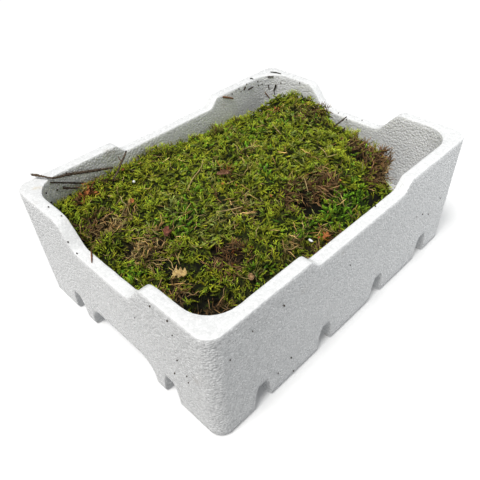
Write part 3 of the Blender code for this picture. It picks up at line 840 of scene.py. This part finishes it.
def layUpperShoots(surface, forms, dice):
    spots, out, kind, hidden = chooseSpots(surface, mossShape["shoots"], dice)
    # hollows keep only a few shoots, and thatch is mostly strands
    chance = dice.random(len(kind))
    keep = ~((isKind(kind, "dark") & (chance < 0.8)) | (isKind(kind, "tan", "brown") & (chance < 0.3)))
    spots, out, kind, hidden = spots[keep], out[keep], kind[keep], hidden[keep]
    x, y, z = spots.T
    count = len(x)
    rise = np.radians(dice.uniform(kindColumn(kind, "rise", 0), kindColumn(kind, "rise", 1)))
    rise = np.where(hidden, np.radians(dice.uniform(3, 12, count)), rise)
    size = dice.uniform(kindColumn(kind, "size", 0), kindColumn(kind, "size", 1))
    heading = 2.4 * waves(x, y, 60, 11) + dice.normal(0, 1.1, count)
    # tips end near the surface; some shoots lie deeper, in shade
    deep = dice.random(count) < 0.25
    proud = np.where(deep, dice.uniform(-3.5, -1.6, count), dice.uniform(-1.4, 1.4, count))
    proud = np.where(hidden, -1.6, proud)
    fringe = (y > 118) & (dice.random(count) < 0.35) & ~hidden
    rise = np.where(fringe, np.radians(dice.uniform(40, 85, count)), rise)
    proud = np.where(fringe, dice.uniform(0, 3.4, count), proud)
    proud = np.where(underLitter(x, y), np.minimum(proud, dice.uniform(-2.4, -0.9, count)), proud)
    # painted shade: the deeper shoots are darkened to 0.45
    tint = tintFor(count, x, y, 0.22, dice) * np.where(deep, 0.45, 1.0)[:, None]
    form = np.where(isKind(kind, "green"), np.where(dice.random(count) < 0.7, 4, 2), dice.integers(0, 4, count))
    return dict(spots=spots, out=out, heading=heading, rise=rise, size=size, proud=proud, form=form,
                curl=dice.uniform(-0.04, 0.22, count), sway=dice.normal(0, 0.26, count),
                roll=dice.normal(0, 0.35, count), root=kindColumn(kind, "root") * tint,
                tip=kindColumn(kind, "tip") * tint)


def layUnderShoots(surface, forms, dice):
    # broad simple shoots that close the gaps, in shade under the others
    spots, out, kind, hidden = chooseSpots(surface, mossShape["underShoots"], dice)
    keep = ~hidden & (dice.random(len(kind)) > 0.85 * isKind(kind, "dark"))
    spots, out, kind = spots[keep], out[keep], kind[keep]
    x, y, z = spots.T
    count = len(x)
    # painted shade: the under-layer is darkened to 0.4 of its kind's colour
    tint = tintFor(count, x, y, 0.3, dice) * 0.40
    return dict(spots=spots, out=out, heading=dice.uniform(0, math.tau, count),
                rise=np.radians(dice.uniform(0, 16, count)), size=dice.uniform(0.85, 1.15, count),
                proud=dice.uniform(-3.6, -1.6, count), form=np.full(count, 5),
                curl=dice.uniform(0, 0.15, count), sway=dice.normal(0, 0.2, count),
                roll=dice.uniform(0, math.tau, count), root=kindColumn(kind, "root") * tint,
                tip=kindColumn(kind, "tip") * tint)


def layStandouts(surface, forms, dice):
    points, normals, triangles = surface
    tree = BVHTree.FromPolygons([Vector(p) for p in points], triangles.tolist())
    rows = []
    for x, y, height, lean, heading, size, kindName in standouts:
        hit = tree.ray_cast(Vector((x, y, 400)), Vector((0, 0, -1)))[0] or tree.find_nearest(Vector((x, y, 130)))[0]
        for k in range(4):
            angle = math.radians(heading) + dice.normal(0, 0.5)
            rise = math.radians(lean) + dice.normal(0, 0.18)
            offset = dice.normal(0, 1.6, 2)
            rows.append((hit.x + offset[0], hit.y + offset[1], hit.z, height * dice.uniform(0.45, 1), rise, angle,
                         size * dice.uniform(0.8, 1.1), kindNames.index(kindName), dice.integers(0, 4)))
    rows = np.array(rows)
    count = len(rows)
    kind = rows[:, 7].astype(int)
    tint = tintFor(count, rows[:, 0], rows[:, 1], 0.2, dice)
    return dict(spots=rows[:, :3].copy(), out=np.tile((0.0, 0.0, 1.0), (count, 1)), heading=rows[:, 5], rise=rows[:, 4],
                size=rows[:, 6], proud=rows[:, 3], form=rows[:, 8].astype(int), curl=dice.uniform(-0.2, 0.1, count),
                sway=dice.normal(0, 0.1, count), roll=dice.normal(0, 0.4, count),
                root=kindColumn(kind, "root") * tint, tip=kindColumn(kind, "tip") * tint)


def layFibres(surface, forms, dice):
    # dead strands: a thatch in the tan and brown patches, a few everywhere else
    spots, out, kind, hidden = chooseSpots(surface, mossShape["fibreTries"], dice)
    thatch = isKind(kind, "tan", "brown", "rust")
    keep = np.where(thatch, dice.random(len(kind)) < np.where(hidden, 0.5, 0.95), dice.random(len(kind)) < 0.04 * ~isKind(kind, "dark"))
    spots, out, kind, thatch, hidden = spots[keep], out[keep], kind[keep], thatch[keep], hidden[keep]
    x, y, z = spots.T
    count = len(x)
    kind = np.where(thatch, kind, kindNames.index("tan"))
    tint = tintFor(count, x, y, 0.35, dice)
    tangle = (x > 108) & (y < -34) & ~hidden
    heading = 2.0 * waves(x, y, 45, 21) + dice.normal(0, 0.8, count)
    heading = np.where(tangle, dice.normal(-0.2, 0.8, count), heading)
    rise = np.radians(dice.uniform(-4, 24, count))
    rise = np.where(tangle, np.radians(dice.uniform(5, 60, count)), rise)
    rise = np.where(hidden, 0.05, rise)
    proud = np.where(tangle, dice.uniform(-1, 4.5, count), dice.uniform(-1.5, 1.6, count))
    proud = np.where(hidden, -1.4, proud)
    return dict(spots=spots, out=out, heading=heading, rise=rise, size=dice.uniform(0.6, 1.2, count), proud=proud,
                form=np.full(count, 6), curl=dice.uniform(-0.12, 0.12, count), sway=dice.normal(0, 0.22, count),
                roll=dice.uniform(0, math.tau, count), root=kindColumn(kind, "tip") * tint * 0.45,
                tip=kindColumn(kind, "tip") * tint)


def makeShoots(surface, material):
    look = mossShape
    dice = np.random.default_rng(look["seed"])
    leafPoints, leafFaces = modelLeaf()
    forms = [growShoot(form, leafPoints, leafFaces) for form in shootForms] + [growFibre(15, 0.42)]
    layers = [lay(surface, forms, dice) for lay in (layUpperShoots, layUnderShoots, layStandouts, layFibres)]
    every = {word: np.concatenate([layer[word] for layer in layers]) for word in layers[0]}
    choice = every["form"]
    length = np.array([form[0][:, 0].max() for form in forms])[choice]
    depth = every["size"] * length * (np.sin(every["rise"]) + np.maximum(every["curl"], 0) * np.cos(every["rise"]))
    depth = depth - every["proud"]
    # dealt out over a few pieces, front to back, with as many triangles in each
    faceCount = np.array([len(form[1]) for form in forms])[choice]
    order = np.argsort(every["spots"][:, 0] * 0.6 + every["spots"][:, 1] * 0.8)
    share = np.cumsum(faceCount[order])
    piece = np.empty(len(choice), int)
    piece[order] = np.minimum(share * look["pieces"] // share[-1], look["pieces"] - 1)
    total = 0
    for k in range(look["pieces"]):
        parts = []
        for f, form in enumerate(forms):
            m = (piece == k) & (choice == f)
            parts.append(plant(form, every["spots"][m], every["out"][m], every["heading"][m], every["rise"][m],
                               every["size"][m], depth[m], every["curl"][m], every["sway"][m], every["roll"][m],
                               every["root"][m], every["tip"][m]))
        joined = joinArrays(parts)
        shoots = meshFromArrays(f"mossShoots{k + 1}", joined[0] * mm, joined[1], joined[2])
        finishPiece(shoots, material, "moss", "moss_clump")
        total += len(joined[1])
    print("moss shoots:", total, "triangles in", look["pieces"], "pieces")


# tones of the litter: dark, middle, light, how fine the streaks are
litterTones = dict(
    bark=((0.020, 0.014, 0.010), (0.105, 0.068, 0.042), (0.300, 0.225, 0.160), 260),
    oldBark=((0.012, 0.009, 0.007), (0.055, 0.036, 0.024), (0.170, 0.115, 0.075), 300),
    brownStick=((0.090, 0.040, 0.018), (0.260, 0.120, 0.050), (0.450, 0.260, 0.130), 300),
    greyNeedle=((0.014, 0.014, 0.011), (0.050, 0.048, 0.036), (0.120, 0.115, 0.085), 300),
    brownNeedle=((0.070, 0.024, 0.012), (0.230, 0.090, 0.040), (0.400, 0.200, 0.100), 300),
    straw=((0.300, 0.200, 0.070), (0.620, 0.460, 0.200), (0.800, 0.660, 0.380), 300),
    orangeLeaf=((0.170, 0.045, 0.012), (0.520, 0.175, 0.045), (0.760, 0.370, 0.140), 330),
    brownLeaf=((0.070, 0.030, 0.014), (0.240, 0.110, 0.050), (0.600, 0.370, 0.230), 260),
    redLeaf=((0.055, 0.018, 0.011), (0.210, 0.068, 0.038), (0.420, 0.185, 0.110), 240),
    paleLeaf=((0.220, 0.130, 0.045), (0.560, 0.390, 0.140), (0.760, 0.600, 0.320), 260),
    tanLeaf=((0.150, 0.080, 0.035), (0.420, 0.250, 0.110), (0.620, 0.430, 0.230), 300),
)


def makeCrumbMaterial():
    material, tree, shader, place = startMaterial("crumbWhite", 0.5, 0.4)
    grain = addNoise(tree, place, 900, 3)
    tree.links.new(addMix(tree, grain, (0.97, 0.975, 0.98), (0.86, 0.87, 0.88)), shader.inputs["Base Color"])
    addBump(tree, shader, grain, 0.6, 0.0003)
    return material


def joinPieces(pieces, name):
    pick(pieces[0])
    for piece in pieces:
        piece.select_set(True)
    if len(pieces) > 1:
        bpy.ops.object.join()
    pieces[0].name = name
    return pieces[0]


def makeStick(name, path, pegs=0.0, uneven=0.12, steps=16):
    # a bevelled curve through the places (x, y, z, thickness), then roughened
    deselectAll()
    bpy.ops.curve.primitive_bezier_curve_add(location=(0, 0, 0))
    stick = bpy.context.object
    stick.name = name
    curve = stick.data
    curve.dimensions = "3D"
    curve.bevel_depth = mm / 2
    curve.bevel_resolution = 3
    curve.resolution_u = steps
    curve.use_fill_caps = True
    spline = curve.splines[0]
    spline.bezier_points.add(len(path) - 2)
    for point, (x, y, z, thick) in zip(spline.bezier_points, path):
        point.co = Vector((x, y, z)) * mm
        point.handle_left_type = "AUTO"
        point.handle_right_type = "AUTO"
        point.radius = thick
    bpy.ops.object.convert(target="MESH")
    mergePoints(stick, 0.00002)
    points, normals = readPoints(stick.data) / mm, readNormals(stick.data)
    along, around = alongPath(points, np.array([place[:3] for place in path], float))
    peg = np.clip(np.sin(2 * around + 2.6 * along), 0, 1) ** 2 * np.clip(np.sin(3 * around - 1.7 * along + 1), 0, 1)
    rough = np.array([noise.noise(Vector(p) / 1.9) + 0.5 * noise.noise(Vector(p) / 0.8) for p in points])
    points += normals * (pegs * peg + uneven * rough)[:, None]
    writePoints(stick.data, points * mm)
    return stick


def alongPath(points, path):
    # how far along the path each point is, and at which angle round it
    best = np.full(len(points), 1e9)
    along, around = np.zeros(len(points)), np.zeros(len(points))
    start = 0
    for a, b in zip(path, path[1:]):
        way = b - a
        length = np.linalg.norm(way)
        t = np.clip((points - a) @ way / length ** 2, 0, 1)
        off = points - a - t[:, None] * way
        away = np.linalg.norm(off, axis=1)
        side = np.cross(way, (0.02, 0.01, 1))
        side /= np.linalg.norm(side)
        up = np.cross(side, way) / length
        closer = away < best
        along = np.where(closer, start + t * length, along)
        around = np.where(closer, np.arctan2(off @ up, off @ side), around)
        best = np.where(closer, away, best)
        start += length
    return along, around


def onNode(path, nodeName):
    # lifts or lowers a path so that it lies where the node lies
    low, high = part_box(nodeName)
    bottom = min(z - thick / 2 for x, y, z, thick in path)
    top = max(z + thick / 2 for x, y, z, thick in path)
    shift = (low.z + high.z) / 2 / mm - (bottom + top) / 2
    return [(x, y, z + shift, thick) for x, y, z, thick in path], shift


# sticks that lie loose: places along them with the thickness, extra twiglets, how knobbly, tones
sticks = dict(
    twig_long=dict(
        path=((-177.1, 149.3, 151, 2.4), (-173.6, 143.2, 150.8, 2.7), (-170.7, 138.1, 150.3, 2.0),
              (-163.5, 132.2, 147.4, 1.9), (-155.8, 132, 145, 2.3), (-149, 132, 143.7, 2.7), (-146.3, 132, 142.9, 3.7),
              (-143, 132, 142, 2.8), (-132.8, 132, 138.5, 3.0), (-115, 132, 132.4, 2.8), (-93.1, 131.2, 125.6, 2.2)),
        twiglets=(((-176.4, 147.4, 151.3, 1.3), (-177.9, 150.1, 152.1, 0.5)),
                  ((-176, 146.6, 150.7, 1.2), (-176.3, 149.7, 150.1, 0.4)),
                  ((-146.6, 132.4, 144, 1.5), (-147.6, 132.6, 146, 0.7))),
        pegs=0.55, uneven=0.35, steps=22, tones="bark", slotName="bark"),
    twig_thin=dict(
        path=((-167.2, 132.6, 145.3, 1.4), (-157, 132.8, 139.5, 1.7), (-143, 132.6, 131.8, 2.0), (-130, 132, 125, 1.6)),
        pegs=0.25, uneven=0.25, steps=36, tones="oldBark", slotName="bark"),
    twig_stub=dict(
        path=((-155.7, 133.6, 130.6, 2.2), (-154.6, 132.9, 130.3, 3.3), (-152.3, 131.6, 129.5, 2.9),
              (-149.5, 130, 128.6, 2.2), (-141.5, 126, 126.6, 1.8)),
        pegs=0.2, uneven=0.45, steps=16, tones="oldBark", slotName="bark"),
    twig_leaning=dict(
        path=((-108, 108, 128, 1.7), (-98, 113, 130.5, 2.4), (-88, 120, 133.5, 2.4), (-78, 126, 136.5, 2.1),
              (-71, 131, 138.5, 1.6)),
        twiglets=(((-84, 122.5, 134.7, 1.4), (-85, 126, 136.2, 1.2), (-83.6, 129, 138.3, 0.8)),),
        pegs=0.3, uneven=0.3, steps=24, tones="bark", slotName="bark"),
    twig_right=dict(
        path=((144, -6, 127, 1.6), (157, -4, 126, 2.1), (170, -1.5, 124.5, 1.8), (182, 2, 122, 1.2)),
        twiglets=(((161, -3.2, 125.8, 1.1), (164.5, -5.6, 126.4, 0.6)),),
        pegs=0.2, uneven=0.3, steps=30, tones="oldBark", slotName="bark"),
    needle_left=dict(
        path=((-187.4, 32.5, 100, 1.3), (-190.9, 26.4, 100, 1.6), (-195.6, 19, 100, 0.8)),
        pegs=0, uneven=0.12, steps=20, tones="brownNeedle", slotName="needle"),
    needle_far=dict(
        path=((182, 134.6, 100, 1.0), (184.9, 127.4, 100, 1.6), (186.6, 119, 100, 0.9)),
        pegs=0, uneven=0.12, steps=20, tones="greyNeedle", slotName="needle"),
    needle_back=dict(
        path=((148, 142, 100, 1.4), (149.4, 140.2, 100, 1.5), (149.6, 137.2, 100, 0.9)),
        pegs=0, uneven=0.15, steps=12, tones="greyNeedle", slotName="needle"),
)


def makeSticks(materials):
    for nodeName, look in sticks.items():
        path, shift = onNode(look["path"], nodeName)
        made = [makeStick("stick", path, look["pegs"], look["uneven"], look["steps"])]
        for twiglet in look.get("twiglets", ()):
            moved = [(x, y, z + shift, thick) for x, y, z, thick in twiglet]
            made.append(makeStick("twiglet", moved, 0, 0.15, 10))
        words = nodeName.split("_")
        piece = joinPieces(made, words[0] + words[1].capitalize())
        finishPiece(piece, materials[look["tones"]], look["slotName"], nodeName)


# scraps of dead leaf: place, size, turn, how the blade bends (mm), lobes along its edge, tones
scraps = dict(
    leaf_orange_left=dict(place=(-118.3, 58.7), length=7.5, width=4.2, turn=0.85, roll=0.35, curl=1.3, fold=0.2,
                          arch=0.8, lobes=0.1, lobeCount=3, seed=3, tones="orangeLeaf", slotName="dead_leaf"),
    leaf_orange_back=dict(place=(-139, 109), length=9, width=4.2, turn=0.8, roll=-0.5, curl=1.6, fold=0.3,
                          arch=1.0, lobes=0.12, lobeCount=2.5, seed=4, tones="orangeLeaf", slotName="dead_leaf"),
    leaf_orange_middle=dict(place=(-23.2, 18.6), length=15, width=5.4, turn=-0.65, roll=0.5, curl=2.4, fold=0.3,
                            arch=1.2, lobes=0.16, lobeCount=2.4, seed=5, tones="brownLeaf", slotName="dead_leaf"),
    leaf_orange_front=dict(place=(-11.5, -114), length=11, width=5.4, turn=0.2, roll=0.3, curl=1.4, fold=0.2,
                           arch=0.7, lobes=0.42, lobeCount=2, seed=6, tones="orangeLeaf", slotName="dead_leaf"),
    leaf_red_left=dict(place=(-120.8, -0.4), length=15, width=7.4, turn=0.85, roll=0.2, curl=1.7, fold=0.4,
                       arch=1.3, lobes=0.38, lobeCount=2, seed=7, tones="redLeaf", slotName="dead_leaf"),
    leaf_pale_left=dict(place=(-141.4, -42.9), length=13.5, width=9.4, turn=-0.9, roll=0.25, curl=1.5, fold=0.3,
                        arch=1.4, lobes=0.3, lobeCount=3, seed=8, tones="paleLeaf", slotName="pale_leaf"),
    leaf_pale_front=dict(place=(-100.1, -96), length=9, width=5.6, turn=0.8, roll=0.2, curl=1.2, fold=0.2,
                         arch=0.6, lobes=0.1, lobeCount=2, seed=9, tones="tanLeaf", slotName="pale_leaf"),
)


def makeScrap(name, look, lowest):
    # a grid cut to a ragged blade, bent and wrinkled, then given its thickness
    deselectAll()
    bpy.ops.mesh.primitive_grid_add(x_subdivisions=34, y_subdivisions=20, size=2, location=(0, 0, 0))
    scrap = bpy.context.object
    scrap.name = name
    s, w, _ = readPoints(scrap.data).T
    seed = look["seed"]
    edge = 0.16 + 0.84 * (1 - np.minimum(abs(s), 1) ** 2.3) ** 0.7
    edge = edge * (1 + look["lobes"] * np.cos(s * math.pi * look["lobeCount"]) + 0.16 * waves(10 * s, 4 * np.sign(w), 6, seed))
    x = s * look["length"] / 2 * (1 + 0.10 * waves(8 * w, 0 * s, 6, seed + 20))
    across = w * edge
    y = across * look["width"] / 2
    z = look["curl"] * across ** 2 + look["fold"] * abs(across) + look["arch"] * s ** 2
    z = z + 0.22 * waves(x, y, 3.2, seed + 40) + 0.35 * waves(x, y, 8, seed + 60)
    points = turned(np.stack((x, y, z), 1), look["turn"], 0, look["roll"])
    points[:, :2] += look["place"][:2]
    points[:, 2] += lowest - points[:, 2].min()
    writePoints(scrap.data, points * mm)
    thicken = scrap.modifiers.new("thickness", "SOLIDIFY")
    thicken.thickness = 0.35 * mm
    thicken.offset = 0
    applyModifiers(scrap)
    mergePoints(scrap)
    return scrap


def makeScraps(materials):
    for nodeName, look in scraps.items():
        low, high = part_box(nodeName)
        first, *rest = nodeName.split("_")
        scrap = makeScrap(first + "".join(word.capitalize() for word in rest), look, low.z / mm + 0.5)
        finishPiece(scrap, materials[look["tones"]], look["slotName"], nodeName)


crumbs = dict(
    foam_bead=dict(place=(-93.3, 89.8), length=3.3, width=3.2, height=3.0, rough=0.16),
    foam_flake=dict(place=(-24.7, -106), length=2.5, width=5.5, height=2.3, rough=0.4),
)


def makeCrumb(name, centre, size, rough):
    # a ball of foam or soil with an uneven skin
    deselectAll()
    bpy.ops.mesh.primitive_ico_sphere_add(subdivisions=3, radius=0.5, location=(0, 0, 0))
    crumb = bpy.context.object
    crumb.name = name
    points = readPoints(crumb.data)
    lumps = np.array([noise.noise(Vector(p) * 3.1 + Vector(centre)) for p in points])
    points = points * (1 + rough * lumps)[:, None] * np.array(size) + np.array(centre)
    writePoints(crumb.data, points * mm)
    return crumb


def makeCrumbs(material):
    for nodeName, look in crumbs.items():
        low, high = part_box(nodeName)
        centre = tuple((low + high) / 2 / mm)
        piece = makeCrumb("foam" + nodeName.split("_")[1].capitalize(), centre,
                          (look["length"], look["width"], look["height"]), look["rough"])
        finishPiece(piece, material, "foam", nodeName)


# small bits that cling to the crate: sticks through (x, y, z, thickness) and specks (x, y, z, size)
clinging = dict(
    brownStick=(
        ((90.2, 136.6, 144.6, 2.4), (99, 136.6, 140.6, 2.6), (107.9, 136.4, 135.9, 2.0)),
        ((168.5, 133.1, 123.2, 1.3), (171.4, 131.3, 118.2, 1.5), (174.3, 129.2, 113.2, 1.1)),
    ),
    oldBark=(
        ((129.3, 136.5, 140, 2.0), (133.1, 136.6, 143.5, 1.6)),
        ((137.8, 136.4, 137.5, 1.7), (143, 136.4, 137.9, 2.0), (147.8, 136.4, 137.5, 1.5)),
        ((172.2, 131.6, 145.6, 1.5), (175.4, 129.2, 145.4, 1.7), (178.9, 126, 145.1, 1.3)),
        ((173.2, 130.4, 128.9, 1.6), (173.1, 130.6, 133.4, 1.4)),
        ((180.5, 123.3, 133.6, 2.4), (180, 123.9, 129.9, 1.9), (178.8, 125.2, 124.7, 1.3), (179.3, 124.4, 119.1, 0.9)),
        ((-162.5, 134.8, 110, 1.2), (-164, 134.2, 107.2, 1.0)),
        ((-152.4, 135.8, 117, 1.6), (-148.6, 135.8, 117.4, 1.4)),
    ),
    specks=(
        (120.4, 136.6, 144.9, 1.5), (114.6, 136.6, 144.1, 1.4), (135.6, 136.8, 146, 1.6), (157.4, 136.4, 142.6, 1.6),
        (158, 136.1, 136.7, 1.5), (186.6, 84.7, 144.9, 1.7), (107.2, 136.6, 142.3, 1.3), (124.2, 136.5, 139.7, 1.4),
        (164.5, 134.9, 136.7, 1.5), (184.1, 116.7, 136.5, 1.4), (-175.2, 128.8, 124.7, 1.8), (-176.9, 127.7, 138.5, 1.6),
        (-161.8, 135.5, 130.6, 1.5), (-192, 90.1, 147.5, 1.5), (-198.9, 51.5, 129.4, 1.5), (-198.1, 40.7, 120.6, 1.3),
        (-190.2, 69, 147.2, 1.2), (32.6, -138.8, 135.5, 1.5), (-115.8, -149.7, 123, 1.3), (-179.3, -149.5, 111.8, 1.2),
        (-153.5, -149.7, 124.1, 1.1), (-102.1, -148.5, 35.2, 1.4), (-120.8, -148.4, 29.6, 1.2), (-97.6, -148.1, 8.2, 1.3),
        (-199.9, -103.3, 140.1, 1.3), (-199.7, -105.9, 124.4, 1.1), (-199.2, -104.7, 89.3, 1.3), (-198.8, -95.1, 60.2, 1.2),
        (-198.9, -114.8, 66.1, 1.1), (-199, -114.4, 75.6, 1.2), (-199.9, -81.1, 140.1, 1.3), (-199.5, -47.9, 98.8, 1.1),
        (111.3, -149.1, 81.1, 1.2), (125.6, -149.1, 76.4, 1.1), (142.6, -148.6, 66.1, 1.2), (165.1, -149.1, 77, 1.2),
        (-18.2, -149.5, 99.5, 1.0), (178.6, 4.2, 119.8, 1.6), (190.2, 20.5, 119.5, 1.4), (193.4, -14.6, 119.5, 1.2),
    ),
)


def makeClinging(crate, materials):
    points, triangles = readPoints(crate.data) / mm, readTriangles(crate.data)
    tree = BVHTree.FromPolygons([Vector(p) for p in points], triangles.tolist())

    def touching(x, y, z, radius):
        spot, normal = tree.find_nearest(Vector((x, y, z)))[:2]
        return spot + normal * radius * 0.75

    for tones in ("brownStick", "oldBark"):
        made = []
        for path in clinging[tones]:
            moved = [(*touching(x, y, z, thick / 2), thick) for x, y, z, thick in path]
            made.append(makeStick("bit", moved, 0.15, 0.3, 12))
        if tones == "oldBark":
            for k, (x, y, z, size) in enumerate(clinging["specks"]):
                long = 1 + 0.5 * (k % 3 == 0)
                made.append(makeCrumb("speck", tuple(touching(x, y, z, size / 2)), (size, size, size * long), 0.6))
        piece = joinPieces(made, "clinging" + tones.capitalize())
        finishPiece(piece, materials[tones], "bark")


# straw-coloured stems and small leaf bits caught in the moss
caught = dict(
    stems=(
        ((-65, 30, 127, 0.7), (-48, 42, 128, 0.9), (-33, 46, 129, 0.9), (-13, 63, 131, 0.6)),
        ((87, 46, 136, 0.6), (82, 33, 136.4, 0.9), (77, 23, 136, 0.7)),
        ((91, -25, 132, 0.7), (87, -34, 131.4, 0.9), (81, -43, 130, 0.7)),
        ((36, -47, 127, 0.7), (31, -54, 126, 0.9), (26, -61, 124, 0.6)),
        ((-67, -16, 123, 0.7), (-54, -23, 123.6, 0.9), (-42, -30, 123, 0.6)),
    ),
    darkSticks=(
        ((149.6, -16.4, 126, 1.8), (153, -15, 126.6, 2.4), (156.8, -13.6, 126, 1.7)),
    ),
    leafBits=(                                 # x, y, z, length, width, turn
        (-33, 10, 128, 4, 2.2, 0.3), (-10, -39, 125.5, 4.5, 2.4, 1.1), (62, -76, 123, 4, 2.4, 0.7),
        (-90, 114, 127, 4.5, 2.2, 0.5), (-136, 116, 122.5, 4, 2.2, 1.2), (-22.8, -0.2, 127, 3.6, 2.2, 0.8),
        (129, 79, 131.5, 5, 3, 0.6), (-133, 105, 123, 3.5, 2, -0.4), (-17, -110, 108.5, 4, 2.2, -0.3),
    ),
)


def makeCaught(surface, materials):
    points, normals, triangles = surface
    tree = BVHTree.FromPolygons([Vector(p) for p in points], triangles.tolist())

    def onTop(x, y, above):
        hit = tree.ray_cast(Vector((x, y, 400)), Vector((0, 0, -1)))[0]
        return hit.z + above

    stems = []
    for path in caught["stems"]:
        stems.append(makeStick("stem", [(x, y, onTop(x, y, 1.5), t) for x, y, z, t in path], 0, 0.12, 14))
    finishPiece(joinPieces(stems, "strawStems"), materials["straw"], "needle")
    dark = [makeStick("bit", [(x, y, onTop(x, y, 1.5), t) for x, y, z, t in path], 0.2, 0.3, 14)
            for path in caught["darkSticks"]]
    finishPiece(joinPieces(dark, "darkStick"), materials["oldBark"], "bark")
    bits = []
    for k, (x, y, z, length, width, turn) in enumerate(caught["leafBits"]):
        look = dict(place=(x, y), length=length, width=width, turn=turn, roll=0.4, curl=0.8, fold=0.2, arch=0.5,
                    lobes=0.2, lobeCount=2, seed=80 + k)
        bits.append(makeScrap("bit", look, onTop(x, y, 0.7)))
    finishPiece(joinPieces(bits, "leafBits"), materials["orangeLeaf"], "dead_leaf")


makeCamera()
makeStage()
print("camera, floor and light are up")

foamMaterial = makeFoamMaterial()
shootMaterial = makeShootMaterial()
bedShadeMaterial = makeBedShadeMaterial()
crumbMaterial = makeCrumbMaterial()
litterMaterials = {name: makeWoodyMaterial(name, *tones) for name, tones in litterTones.items()}

crate = makeCrate(foamMaterial)
mossForm = cadCopy("moss_clump", "mossShadeBed")
mossSurface = (readPoints(mossForm.data) / mm, readNormals(mossForm.data), readTriangles(mossForm.data))
makeBed(mossForm, bedShadeMaterial)
makeShoots(mossSurface, shootMaterial)

makeSticks(litterMaterials)
makeScraps(litterMaterials)
makeCrumbs(crumbMaterial)
print("sticks, needles, leaf scraps and foam crumbs are made")
makeClinging(crate, litterMaterials)
makeCaught(mossSurface, litterMaterials)
print("small bits are made")

print("all pieces are made")
